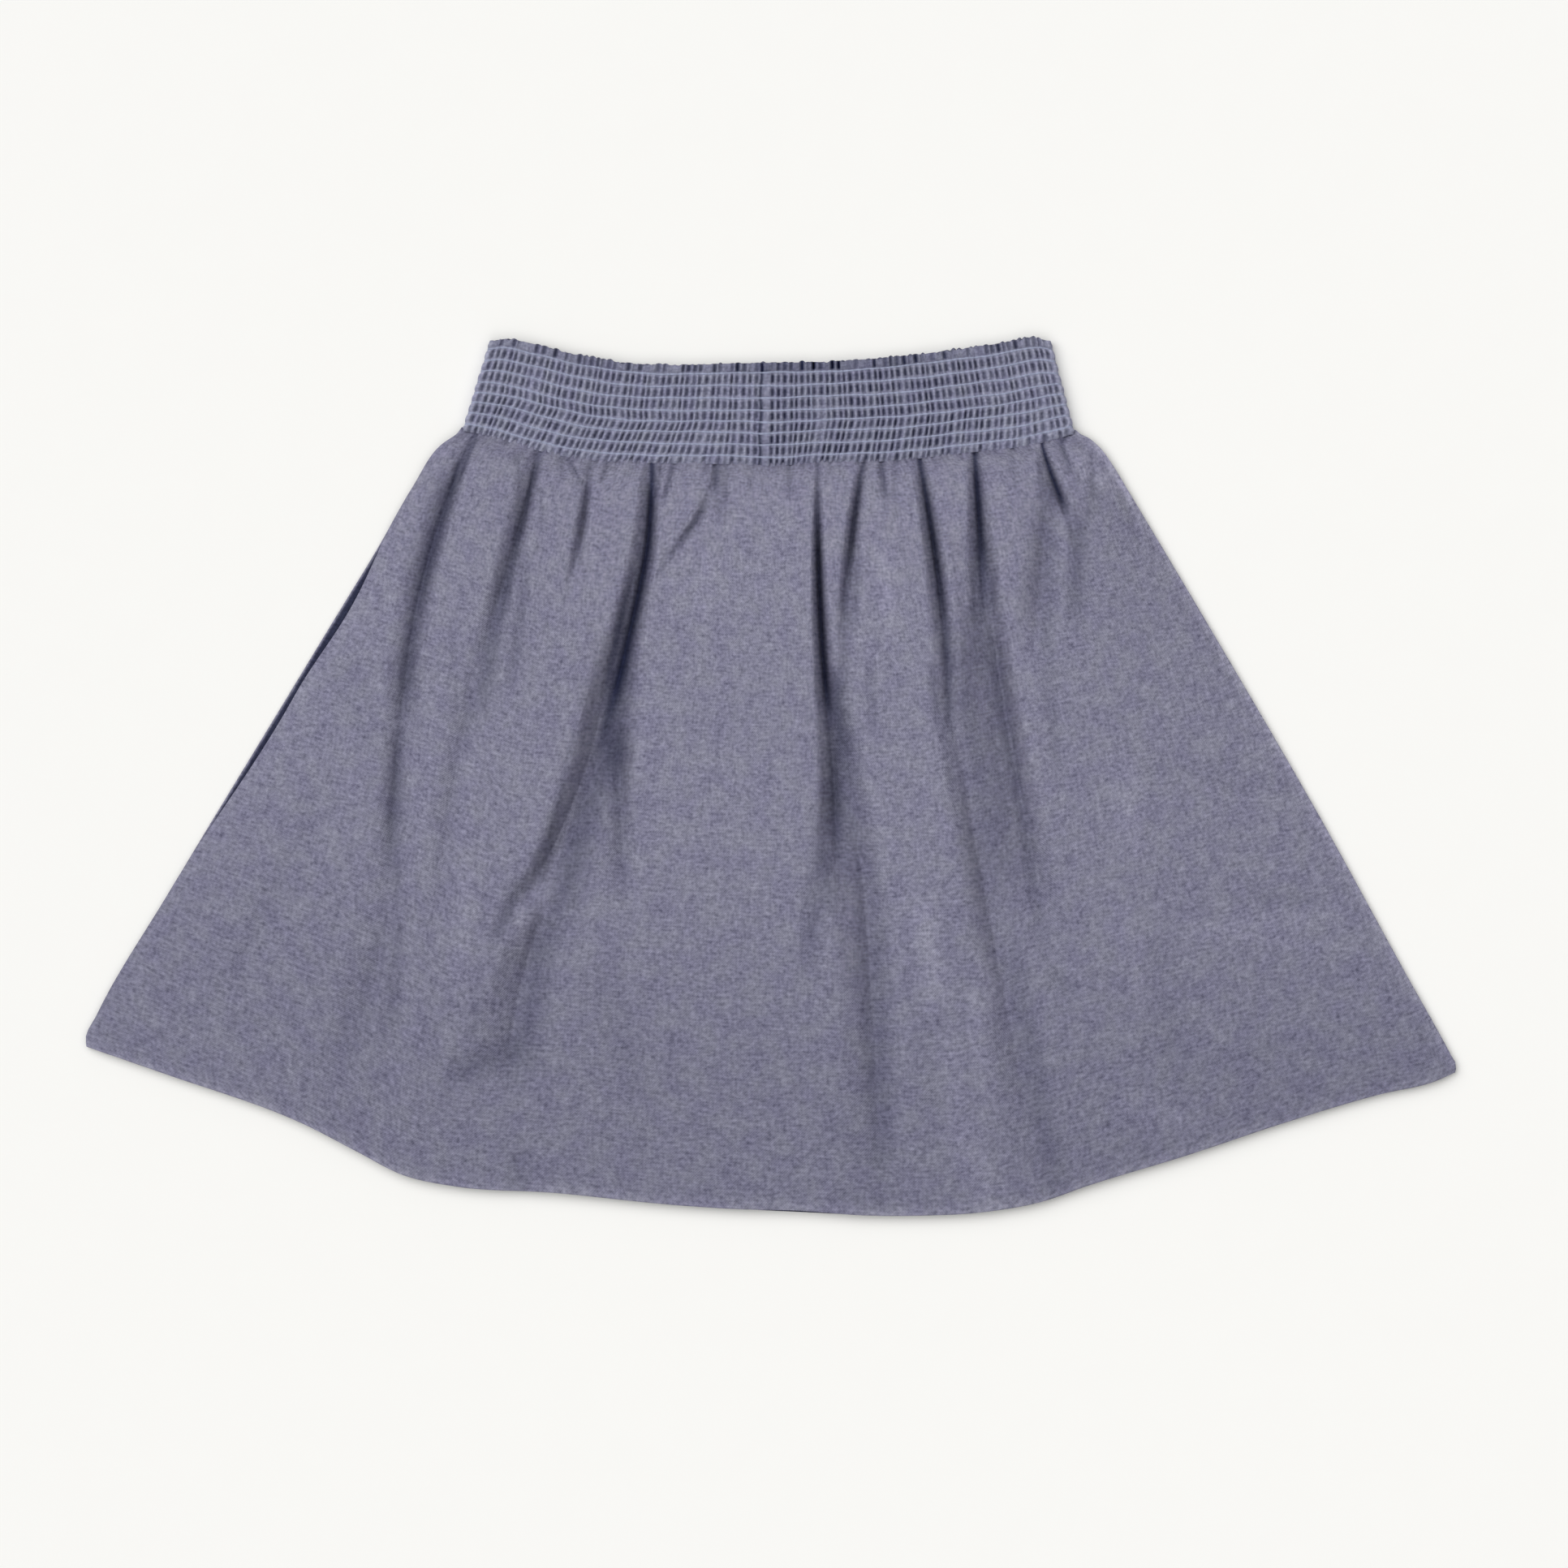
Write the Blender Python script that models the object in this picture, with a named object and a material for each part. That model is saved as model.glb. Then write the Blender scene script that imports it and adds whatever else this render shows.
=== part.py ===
"""A child's gathered skirt of indigo chambray with a shirred waistband, laid flat, back side up.

The skirt lies on the plane z = 0 with its waist towards +Y and its hem towards -Y. Three cut
pieces make it: a front panel that lies on the surface, a back panel that lies over it in soft
folds, and a waistband, one strip sewn into a ring at the centre back and gathered by eight rows
of elastic thread. Tables and sizes are in millimetres, and meshes are made in metres.
"""
import bpy
import bmesh
import numpy as np

MM = 0.001

# Cloth walls, the clearance kept at every seam, and room there for facets of unlike length, mm
PANEL_WALL = 1.2
SEAM_GAP = 0.3
FACET_ROOM = 0.15
HEM_DEPTH = 35.0
HEM_EXTRA = 0.3

# How much steeper cloth thickens its wall upwards, so that the wall stays true along its normal
STEEP_LIMIT = 2.0
SLOPE_STEP = 0.8

# Outline of the skirt as it lies. Columns: x, y
SIDE_LEFT = (
    (-116.0, 130.0), (-124.4, 124.3), (-134.6, 109.0), (-148.6, 84.6), (-161.6, 63.3),
    (-189.4, 17.5), (-226.3, -43.5), (-253.2, -89.2), (-257.4, -98.4), (-257.1, -101.2),
)
SIDE_RIGHT = (
    (114.2, 129.0), (122.3, 124.3), (133.0, 109.0), (147.9, 84.6), (169.6, 48.0),
    (205.0, -13.0), (238.5, -74.0), (255.4, -104.5), (257.4, -108.4), (256.9, -110.9),
)
HEM_LINE = (
    (-257.1, -101.2), (-228.8, -111.0), (-173.9, -131.0), (-155.6, -140.5), (-137.3, -149.7),
    (-119.0, -153.6), (-82.4, -156.0), (-36.6, -160.6), (9.2, -163.3), (50.0, -164.7),
    (82.4, -163.0), (100.7, -159.7), (119.0, -153.4), (155.6, -142.6), (192.2, -130.7),
    (228.8, -119.7), (249.5, -114.6), (256.9, -110.9),
)
WAIST_SEAM = (
    (-116.0, 130.0), (-99.4, 126.8), (-87.8, 123.4), (-70.2, 119.5), (-45.8, 117.9),
    (-12.8, 117.2), (0.0, 116.6), (16.5, 117.7), (50.9, 118.7), (75.8, 121.4),
    (101.5, 124.8), (114.2, 129.0),
)
BAND_TOP = (
    (-105.4, 163.6), (-100.7, 164.5), (-88.5, 162.4), (-70.2, 158.0), (-51.9, 155.3),
    (-22.0, 155.0), (15.3, 155.5), (45.8, 157.6), (82.4, 162.2), (100.7, 164.5),
    (105.8, 163.4),
)

# Where the front panel shows past an edge of the back panel. Columns: edge, centre, reach, width
PEEPS = (
    ("left", 68.0, 19.0, 2.3), ("left", 30.0, 60.0, 0.4), ("hem", 10.0, 26.0, 0.6),
)

# How the cloth of the back panel stands clear of the front panel, from the band to the hem.
# Columns: share of the way down, lift
LIFT = (
    (0.00, 0.5), (0.04, 5.0), (0.10, 9.0), (0.20, 10.6), (0.35, 10.8), (0.55, 9.6), (0.80, 6.6),
    (1.00, 2.2),
)
# The lift dies away towards the side seams over this share of the width, at the band and hem
SIDE_FADE_TOP = 0.05
SIDE_FADE_HEM = 0.34

# Folds of the back panel: a valley along the parabola through three stations. depth is the
# share of the lift that it takes at its deepest, start the share of that at its upper end. It is
# full from peak to hold, shares of its length, and dies away at its lower end. left and right are
# the widths of its two flanks, at its upper and at its lower end, and edge is their sharpness: 1
# is a straight V, and more gives a rounder crest and a narrower valley.
# Columns: name, x0, y0, x1, y1, x2, y2, depth, start, peak, hold, left0, left2, right0, right2, edge
FOLDS = (
    ("side_left", -113.8, 129, -137.4, 42.7, -142.9, -50, 1.00, 0.9, 0.08, 0.36, 12, 10, 8, 16, 1.8),
    ("side_left_low", -142.1, -20, -155, -91.5, -166.5, -150, 0.50, 0.1, 0.4, 0.5, 18, 24, 14, 22, 2),
    ("left", -87.5, 124, -98.8, 78.2, -112.3, 28, 0.97, 0.9, 0.15, 0.36, 11, 10, 6, 10, 1.9),
    ("left_low", -110.4, 45, -122.5, -11.4, -123.9, -75, 0.32, 0.1, 0.4, 0.5, 8, 12, 10, 12, 2.0),
    ("pucker_left", -67.4, 119, -72.6, 89.2, -78.3, 56, 0.80, 0.6, 0.35, 0.50, 6, 4, 4, 5, 2.0),
    ("centre_left", -44.5, 119, -50.7, 68.6, -64.5, 2, 1.00, 0.9, 0.12, 0.76, 10, 11, 4, 6, 1.35),
    ("centre_left_down", -60.6, 48, -59.7, -6.9, -53.5, -64, 0.72, 0.2, 0.30, 0.40, 16, 12, 8, 14, 1.8),
    ("diagonal_left", -60.5, 42, -76.6, -11.4, -103.5, -62, 0.95, 0.3, 0.25, 0.62, 9, 7, 26, 18, 1.6),
    ("hem_left", -84.0, -42, -91.8, -83.9, -95.3, -130, 1.00, 0.1, 0.38, 0.62, 25, 24, 6, 8, 1.6),
    ("hem_far_left", -136.8, -62, -138.9, -104.5, -148, -152, 0.36, 0.1, 0.6, 0.7, 12, 16, 10, 14, 2),
    ("pucker_centre", -20.0, 114, -30.1, 94.5, -42.8, 76, 0.32, 0.5, 0.35, 0.50, 3, 2, 3, 3, 2.0),
    ("centre_right", 16.2, 119, 20.6, 45.8, 27.5, -48, 1.00, 0.8, 0.30, 0.62, 3, 5, 7, 14, 1.5),
    ("right_small", 34.3, 119, 29.1, 83.1, 27.0, 40, 0.90, 0.9, 0.20, 0.40, 5, 5, 4, 5, 2.0),
    ("right_small_low", 29.8, 12, 38.3, -87.7, 40.4, -172, 0.74, 0.1, 0.35, 0.64, 18, 26, 7, 11, 1.7),
    ("right", 54.8, 121, 63.0, 70.2, 67.5, 8, 1.00, 0.9, 0.15, 0.62, 8, 8, 5, 7, 1.7),
    ("right_low", 65.1, 36, 82.9, -61.8, 103.8, -168, 0.60, 0.3, 0.35, 0.64, 11, 16, 10, 14, 1.8),
    ("far_right", 76.4, 123, 78.0, 91.5, 81.5, 50, 1.00, 0.9, 0.25, 0.65, 5, 12, 5, 6, 1.7),
    ("far_right_low", 80.2, 82, 94.6, -11.4, 118, -106, 0.94, 0.4, 0.20, 0.60, 14, 28, 7, 13, 1.3),
    ("side_right", 101.6, 126, 106.5, 108.3, 115.5, 84, 0.90, 0.8, 0.25, 0.40, 7, 7, 4, 5, 1.9),
    ("side_right_low", 104.0, 108, 100.9, 72.4, 97.0, 36, 0.42, 0.2, 0.40, 0.50, 10, 9, 9, 10, 2.0),
)

# Small gathers right under the band, a crest and a valley for every two columns of the panel
PANEL_COLUMNS = 64
PANEL_ROWS = 19
ROW_CROWDING = 1.35
GATHER_HEIGHT = 0.55
GATHER_REACH = 9.0
FOLD_CROWDING = 3.0
FOLD_CROWDING_WIDTH = 5.0

# The front panel: its gathers are grooves in its underside, open at the waist seam
FRONT_COLUMNS = 36
FRONT_ROWS = 9
GROOVE_HEIGHT = 0.7
GROOVE_REACH = 0.22

# The waistband. Rows of elastic thread lie at these shares of the way from its top edge down
ELASTIC_ROWS = (0.095, 0.220, 0.341, 0.465, 0.573, 0.680, 0.798, 0.915)
GATHERS_LEFT = 44
GATHERS_RIGHT = 47
GATHER_UNEVEN = 0.22
CENTRE_SEAM_X = -3.9
FLAT_STRIP = 3.2
FRONT_WAVES = 23
BAND_FRONT_TOP = 2.0
BAND_INNER = 2.5
BAND_VALLEY = 3.9
BAND_CREST = 5.5
BAND_PINCH = 4.3
PINCH_WAVE = 0.3
RUFFLE_WAVE = 0.45
SIDE_ARC_STEPS = 4
CURVE_SAMPLES = 400


def smooth_curve(points, samples=CURVE_SAMPLES):
    """Points evenly spread along the smooth line through the given ones, by cubic pieces."""
    p = np.array(points, dtype=float)
    chord = np.concatenate(([0.0], np.cumsum(np.hypot(*np.diff(p, axis=0).T))))
    slope = np.gradient(p, chord, axis=0)
    t = np.linspace(0.0, chord[-1], samples)
    k = np.clip(np.searchsorted(chord, t, side="right") - 1, 0, len(p) - 2)
    span = (chord[k + 1] - chord[k])[:, None]
    s = ((t - chord[k]) / span[:, 0])[:, None]
    blend = s * s * (3.0 - 2.0 * s)
    tangent_in = s * (1.0 - s) ** 2 * span * slope[k]
    tangent_out = -s * s * (1.0 - s) * span * slope[k + 1]
    return (1.0 - blend) * p[k] + blend * p[k + 1] + tangent_in + tangent_out


def along(curve, share):
    """Points of a sampled curve at the given shares of its length, as two arrays."""
    at = np.linspace(0.0, 1.0, len(curve))
    return np.interp(share, at, curve[:, 0]), np.interp(share, at, curve[:, 1])


def ease(t):
    """0 below 0 and 1 above 1, with a soft S between."""
    t = np.clip(t, 0.0, 1.0)
    return t * t * (3.0 - 2.0 * t)


def slope_in(t):
    """A straight slope from 0 at t = 0 that rounds over to 1."""
    t = np.clip(t, 0.0, 1.5) / 1.5
    return 1.0 - (1.0 - t) ** 2.0


def patch(u, v, top, bottom, left, right):
    """Plan position (x, y) on the Coons patch between four edge curves."""
    tx, ty = along(top, u)
    bx, by = along(bottom, u)
    lx, ly = along(left, v)
    rx, ry = along(right, v)
    corners = (
        (1 - u) * (1 - v), u * (1 - v), (1 - u) * v, u * v,
    )
    ends = (top[0], top[-1], bottom[0], bottom[-1])
    x = (1 - v) * tx + v * bx + (1 - u) * lx + u * rx
    y = (1 - v) * ty + v * by + (1 - u) * ly + u * ry
    x -= sum(c * e[0] for c, e in zip(corners, ends))
    y -= sum(c * e[1] for c, e in zip(corners, ends))
    return x, y


def panel_edges():
    """The four edge curves of both panels: waist, hem, left side and right side."""
    clear = SEAM_GAP + FACET_ROOM
    waist = smooth_curve(WAIST_SEAM)
    waist[:, 1] -= clear
    left = smooth_curve(SIDE_LEFT)
    right = smooth_curve(SIDE_RIGHT)
    left[:, 1] -= clear * np.linspace(1.0, 0.0, CURVE_SAMPLES)
    right[:, 1] -= clear * np.linspace(1.0, 0.0, CURVE_SAMPLES)
    return waist, smooth_curve(HEM_LINE), left, right


def back_edges():
    """The back panel's edges, drawn in where the front panel shows past them."""
    waist, hem, left, right = panel_edges()
    for edge, centre, reach, width in PEEPS:
        if edge == "left":
            left[:, 0] += width * np.cos(np.clip((left[:, 1] - centre) / reach, -1, 1) * np.pi / 2) ** 2
        else:
            hem[:, 1] += width * np.cos(np.clip((hem[:, 0] - centre) / reach, -1, 1) * np.pi / 2) ** 2
    return waist, hem, left, right


def fold_line(fold, y):
    """x of a fold's valley at the height y: the parabola through its three stations."""
    x0, y0, x1, y1, x2, y2 = fold[1:7]
    return (
        x0 * (y - y1) * (y - y2) / ((y0 - y1) * (y0 - y2))
        + x1 * (y - y0) * (y - y2) / ((y1 - y0) * (y1 - y2))
        + x2 * (y - y0) * (y - y1) / ((y2 - y0) * (y2 - y1))
    )


def fold_strength(fold, y):
    """How far a fold is formed at the height y, from 0 to 1."""
    y0, y2 = fold[2], fold[6]
    start, peak, hold = fold[8:11]
    s = (y0 - y) / (y0 - y2)
    grown = start + (1.0 - start) * ease(s / peak)
    faded = 1.0 - ease((s - hold) / (1.0 - hold))
    born = ease(1.0 + s * (y0 - y2) / GATHER_REACH)
    return grown * faded * born


def fold_cut(fold, x, y):
    """The share of the lift that one fold takes at (x, y)."""
    depth = fold[7]
    left0, left2, right0, right2, edge = fold[11:16]
    s = np.clip((fold[2] - y) / (fold[2] - fold[6]), 0.0, 1.0)
    away = x - fold_line(fold, np.clip(y, fold[6], fold[2] + GATHER_REACH))
    width = np.where(away < 0, left0 + (left2 - left0) * s, right0 + (right2 - right0) * s)
    profile = np.clip(1.0 - np.abs(away) / width, 0.0, 1.0) ** edge
    return depth * fold_strength(fold, y) * profile


def front_thickness(v):
    """Top of the front panel at the share v of the way down, where its gathers stand highest."""
    return PANEL_WALL + GROOVE_HEIGHT * (1.0 - ease(v / GROOVE_REACH)) + HEM_EXTRA * hem_share(v)


def hem_share(v):
    """0 on the single cloth and 1 on the turned-up hem."""
    hem_start = 1.0 - HEM_DEPTH / (WAIST_SEAM[5][1] - HEM_LINE[8][1])
    return ease((v - hem_start) / 0.04 + 0.5)


def back_underside(x, y, u, v):
    """Height of the back panel's underside: its lift, less what every fold takes from it."""
    table = np.array(LIFT)
    lift = np.interp(v, table[:, 0], table[:, 1])
    fade = SIDE_FADE_TOP + (SIDE_FADE_HEM - SIDE_FADE_TOP) * v
    lift = lift * slope_in(u / fade) * slope_in((1.0 - u) / fade)
    for fold in FOLDS:
        lift = lift * (1.0 - fold_cut(fold, x, y))
    return front_thickness(v) + SEAM_GAP + lift


def wall_height(x, y, u, v):
    """Upright thickness of the back panel's wall, more where the cloth stands steep."""
    here = back_underside(x, y, u, v)
    slope_x = (back_underside(x + SLOPE_STEP, y, u, v) - here) / SLOPE_STEP
    slope_y = (back_underside(x, y - SLOPE_STEP, u, v) - here) / SLOPE_STEP
    steep = np.sqrt(1.0 + slope_x ** 2 + slope_y ** 2)
    return PANEL_WALL * np.minimum(steep, STEEP_LIMIT) + HEM_EXTRA * hem_share(v)


def crowded_columns(v, columns, edges):
    """Shares u of one row, crowded towards the folds that cross it."""
    u = np.linspace(0.0, 1.0, CURVE_SAMPLES)
    x, y = patch(u, np.full_like(u, v), *edges)
    density = np.ones_like(u)
    for fold in FOLDS:
        away = (x - fold_line(fold, y)) / FOLD_CROWDING_WIDTH
        density += FOLD_CROWDING * fold[7] * fold_strength(fold, y) * np.exp(-away * away)
    total = np.cumsum(density)
    total = (total - total[0]) / (total[-1] - total[0])
    return np.interp(np.linspace(0.0, 1.0, columns + 1), total, u)


def material(name, colour, roughness):
    """A cloth finish."""
    finish = bpy.data.materials.new(name)
    finish.use_nodes = True
    shader = finish.node_tree.nodes["Principled BSDF"]
    shader.inputs["Base Color"].default_value = (*colour, 1.0)
    shader.inputs["Roughness"].default_value = roughness
    shader.inputs["Metallic"].default_value = 0.0
    return finish


def quads(rows, columns, first=0):
    """Corner indices of a grid of faces, rows by columns of points, from the given first point."""
    i, j = np.meshgrid(np.arange(rows - 1), np.arange(columns - 1), indexing="ij")
    a = (first + i * columns + j).ravel()
    return np.stack((a, a + 1, a + columns + 1, a + columns), axis=1).tolist()


def add_piece(name, points, faces, finish):
    """A named object from points in millimetres, its faces turned outwards and its curves smooth."""
    mesh = bpy.data.meshes.new(name)
    mesh.from_pydata((np.asarray(points) * MM).tolist(), [], faces)
    shape = bmesh.new()
    shape.from_mesh(mesh)
    bmesh.ops.recalc_face_normals(shape, faces=shape.faces[:])
    shape.to_mesh(mesh)
    shape.free()
    mesh.shade_smooth()
    mesh.set_sharp_from_angle(angle=np.radians(50.0))
    mesh.materials.append(finish)
    piece = bpy.data.objects.new(name, mesh)
    skirt.objects.link(piece)
    return piece


def walled_grid(under, over):
    """Points and faces of a wall between two grids of points, closed all round its rim."""
    rows, columns = under.shape[:2]
    count = rows * columns
    points = np.concatenate((under.reshape(-1, 3), over.reshape(-1, 3)))
    faces = quads(rows, columns) + quads(rows, columns, count)
    index = np.arange(count).reshape(rows, columns)
    rim = np.concatenate((
        index[0, :-1], index[:-1, -1], index[-1, :0:-1], index[:0:-1, 0],
    ))
    turned = np.roll(rim, -1)
    faces += np.stack((rim, turned, turned + count, rim + count), axis=1).tolist()
    return points, faces


def back_panel(finish):
    """The upper layer of the skirt, lifted in folds that fan out from the band."""
    edges = back_edges()
    stations = np.linspace(0.0, 1.0, PANEL_ROWS + 1) ** ROW_CROWDING
    u = np.array([crowded_columns(v, PANEL_COLUMNS, edges) for v in stations])
    v = np.repeat(stations[:, None], PANEL_COLUMNS + 1, axis=1)
    x, y = patch(u, v, *edges)
    down = np.hypot(x - x[:1], y - y[:1])
    crest = (-1.0) ** np.arange(PANEL_COLUMNS + 1)
    gather = GATHER_HEIGHT * (1.0 + crest) * np.exp(-(down / GATHER_REACH) ** 2)
    under = back_underside(x, y, u, v) + gather
    over = under + wall_height(x, y, u, v)
    points, faces = walled_grid(np.stack((x, y, under), axis=2), np.stack((x, y, over), axis=2))
    return add_piece("skirt_back_panel", points, faces, finish)


def front_panel(finish):
    """The under layer, flat where it rests, with gathers as grooves under its waist."""
    edges = panel_edges()
    stations = np.linspace(0.0, 1.0, FRONT_ROWS + 1) ** ROW_CROWDING
    u, v = np.meshgrid(np.linspace(0.0, 1.0, FRONT_COLUMNS + 1), stations)
    x, y = patch(u, v, *edges)
    odd = np.arange(FRONT_COLUMNS + 1) % 2
    groove = GROOVE_HEIGHT * odd * (1.0 - ease(v / GROOVE_REACH))
    over = PANEL_WALL + groove + HEM_EXTRA * hem_share(v)
    points, faces = walled_grid(np.stack((x, y, groove), axis=2), np.stack((x, y, over), axis=2))
    return add_piece("skirt_front_panel", points, faces, finish)


def band_rows():
    """Shares v of the band's rows of points: its edges, the elastic rows and one between each."""
    marks = np.array((0.0,) + ELASTIC_ROWS + (1.0,))
    return np.sort(np.concatenate((marks, (marks[1:-2] + marks[2:-1]) / 2.0)))


def pinch(v):
    """1 on an elastic row, where the thread holds the gathers down, and 0 midway between rows."""
    near = np.min(np.abs(np.asarray(ELASTIC_ROWS)[:, None] - v[None, :]), axis=0)
    return 1.0 - ease(near / 0.055)


def uneven(count):
    """Small steady differences between neighbours, from -1 to 1, as hand-guided gathers have."""
    k = np.arange(count)
    return 0.6 * np.sin(2.4 * k) + 0.4 * np.sin(5.1 * k + 1.0)


def gathered(start, end, gathers):
    """Shares of the points from start to end, two for each gather, a little uneven."""
    shares = np.linspace(start, end, 2 * gathers + 1)
    step = shares[1] - shares[0]
    shares[1:-1] += GATHER_UNEVEN * step * uneven(len(shares) - 2)
    return shares


def crests(count):
    """-1 in the valleys and 1 on the crests, which follow each other point by point."""
    return np.where(np.arange(count) % 2, 1.0, -1.0)


def waistband(finish):
    """The shirred ring as it lies: its back stretch, a side fold, its front and a side fold.

    Each row of points runs round the ring from the right face of the centre-back seam to the
    left one. The outer points of the back stretch rise and fall with the gathers and are held
    down along each elastic row, and the ruffled top edge runs in and out with them. The inner
    points and the underside, on which the band rests, are plain.
    """
    top = smooth_curve(BAND_TOP)
    bottom = smooth_curve(WAIST_SEAM)
    everywhere = np.linspace(0.0, 1.0, CURVE_SAMPLES)
    middle_x = (along(top, everywhere)[0] + along(bottom, everywhere)[0]) / 2.0
    seam, strip_end = np.interp((CENTRE_SEAM_X, CENTRE_SEAM_X + FLAT_STRIP), middle_x, everywhere)
    inset = BAND_VALLEY / 2.0 / (middle_x[-1] - middle_x[0])

    right = gathered(strip_end, 1.0 - inset, GATHERS_RIGHT)
    front = np.linspace(1.0 - inset, inset, 2 * FRONT_WAVES + 1)
    left = gathered(inset, seam, GATHERS_LEFT)
    share = np.concatenate(([seam], right, front, left))
    wave = np.concatenate(([0.0], crests(len(right)), crests(len(front)), crests(len(left))))
    lies_over = np.ones(len(share), bool)
    lies_over[1 + len(right):1 + len(right) + len(front)] = False

    v = band_rows()
    down = v[:, None]
    x = (1.0 - down) * along(top, share)[0] + down * along(bottom, share)[0]
    y = (1.0 - down) * along(top, share)[1] + down * along(bottom, share)[1]
    x[:, 0] = CENTRE_SEAM_X + SEAM_GAP / 2.0
    x[:, -1] = CENTRE_SEAM_X - SEAM_GAP / 2.0
    y[0] += RUFFLE_WAVE * wave

    held = pinch(v)[:, None]
    free = (BAND_CREST + BAND_VALLEY + (BAND_CREST - BAND_VALLEY) * wave) / 2.0
    height = held * (BAND_PINCH + PINCH_WAVE * wave) + (1.0 - held) * free
    outer = np.stack((x, y, np.where(lies_over, height, 0.0)), axis=2)
    plain = np.broadcast_to(np.where(lies_over, BAND_INNER, BAND_FRONT_TOP), x.shape)
    inner = np.stack((x, y, plain), axis=2)[[0, -1]]

    first, stretch = 1 + len(right), len(front)
    outer = with_side_folds(outer, first, stretch)
    inner = with_side_folds(inner, first, stretch)
    rows, columns = outer.shape[:2]
    count = rows * columns
    points = np.concatenate((outer.reshape(-1, 3), inner.reshape(-1, 3)))
    faces = quads(rows, columns) + quads(2, columns, count)
    step = np.arange(columns - 1)
    for outer_row, inner_row in ((0, 0), (rows - 1, 1)):
        a = outer_row * columns + step
        b = count + inner_row * columns + step
        faces += np.stack((a, a + 1, b + 1, b), axis=1).tolist()
    for column in (0, columns - 1):
        ladder = (np.arange(rows) * columns + column).tolist()
        faces.append(ladder + [count + columns + column, count + column])
    return add_piece("waistband", points, faces, finish)


def arc(start, end, side):
    """Points on the half circle between two columns of points that lie one above the other."""
    angles = np.linspace(np.pi / 2.0, -np.pi / 2.0, SIDE_ARC_STEPS + 1)[1:-1]
    radius = (start[..., 2] - end[..., 2]) / 2.0
    points = np.repeat((start + end) / 2.0, len(angles), axis=1)
    points[..., 0] += side * np.abs(radius) * np.cos(angles)
    points[..., 2] += radius * np.sin(angles)
    return points


def with_side_folds(ring, first, stretch):
    """A ring of points with rounded side folds put in before and after its front stretch."""
    last = first + stretch
    right_fold = arc(ring[:, first - 1:first], ring[:, first:first + 1], 1.0)
    left_fold = arc(ring[:, last - 1:last], ring[:, last:last + 1], -1.0)
    parts = (ring[:, :first], right_fold, ring[:, first:last], left_fold, ring[:, last:])
    return np.concatenate(parts, axis=1)


for old in list(bpy.data.objects):
    bpy.data.objects.remove(old, do_unlink=True)

skirt = bpy.data.collections.new("gathered_skirt")
bpy.context.scene.collection.children.link(skirt)
back_panel(material("chambray_back", (0.212, 0.207, 0.285), 0.86))
front_panel(material("chambray_front", (0.212, 0.207, 0.285), 0.86))
waistband(material("chambray_band", (0.190, 0.196, 0.275), 0.88))
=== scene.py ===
"""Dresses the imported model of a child's gathered chambray skirt, laid flat with its back up.

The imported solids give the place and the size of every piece, and a thin cloth shell on the same
form replaces each of them: the back panel with its folds, the front panel that it lies on, and
the shirred waistband, a ring pressed flat. Sewing thread, a pale floor, soft light and a camera
straight above complete the scene. Tables and sizes are in millimetres, and meshes in metres:
x to the right, y from the hem to the waist, z up from the floor.
"""
import logging
import math
from dataclasses import dataclass
from enum import Enum

import bpy
import numpy as np
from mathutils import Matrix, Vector


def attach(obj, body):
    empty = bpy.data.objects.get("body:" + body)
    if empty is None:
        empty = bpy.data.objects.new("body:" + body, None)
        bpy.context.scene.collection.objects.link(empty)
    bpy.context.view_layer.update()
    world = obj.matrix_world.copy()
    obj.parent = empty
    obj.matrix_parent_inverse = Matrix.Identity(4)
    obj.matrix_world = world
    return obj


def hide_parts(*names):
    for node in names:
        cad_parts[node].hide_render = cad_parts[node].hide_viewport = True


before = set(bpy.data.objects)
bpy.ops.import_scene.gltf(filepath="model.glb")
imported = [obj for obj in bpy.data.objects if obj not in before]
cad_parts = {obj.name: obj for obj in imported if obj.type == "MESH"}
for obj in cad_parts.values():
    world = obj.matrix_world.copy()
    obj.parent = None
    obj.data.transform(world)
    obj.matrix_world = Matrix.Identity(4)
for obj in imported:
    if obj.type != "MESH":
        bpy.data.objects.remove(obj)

MM = 0.001
LOG = logging.getLogger("gathered_skirt")

Array = np.ndarray
Socket, Material, Piece = bpy.types.NodeSocket, bpy.types.Material, bpy.types.Object
Points = tuple[tuple[float, float], ...]
Colour = tuple[float, float, float]

# Outline of the skirt as it lies. Columns: x, y
SIDE_LEFT: Points = (
    (-116.0, 130.0), (-124.4, 124.3), (-134.6, 109.0), (-148.6, 84.6), (-161.6, 63.3),
    (-189.4, 17.5), (-226.3, -43.5), (-253.2, -89.2), (-257.4, -98.4), (-257.1, -101.2),
)
SIDE_RIGHT: Points = (
    (114.2, 129.0), (118.6, 127.7), (123.0, 124.2), (128.7, 116.6), (133.4, 108.8),
    (147.9, 84.6), (169.6, 48.0), (205.0, -13.0), (238.5, -74.0), (255.4, -104.5),
    (257.4, -108.4), (256.9, -110.9),
)
HEM_LINE: Points = (
    (-257.1, -101.2), (-228.8, -111.0), (-173.9, -131.0), (-155.6, -140.5), (-137.3, -149.7),
    (-119.0, -153.6), (-82.4, -156.0), (-36.6, -160.6), (9.2, -163.3), (50.0, -164.7),
    (82.4, -163.0), (100.7, -159.7), (119.0, -153.4), (155.6, -142.2), (192.2, -130.0),
    (228.8, -119.1), (249.5, -114.2), (256.9, -110.9),
)
WAIST_SEAM: Points = (
    (-116.0, 130.0), (-99.4, 126.8), (-87.8, 123.4), (-70.2, 119.5), (-45.8, 117.9),
    (-12.8, 117.2), (0.0, 116.6), (16.5, 117.7), (50.9, 118.7), (75.8, 121.4),
    (101.5, 124.8), (114.2, 129.0),
)
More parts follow.
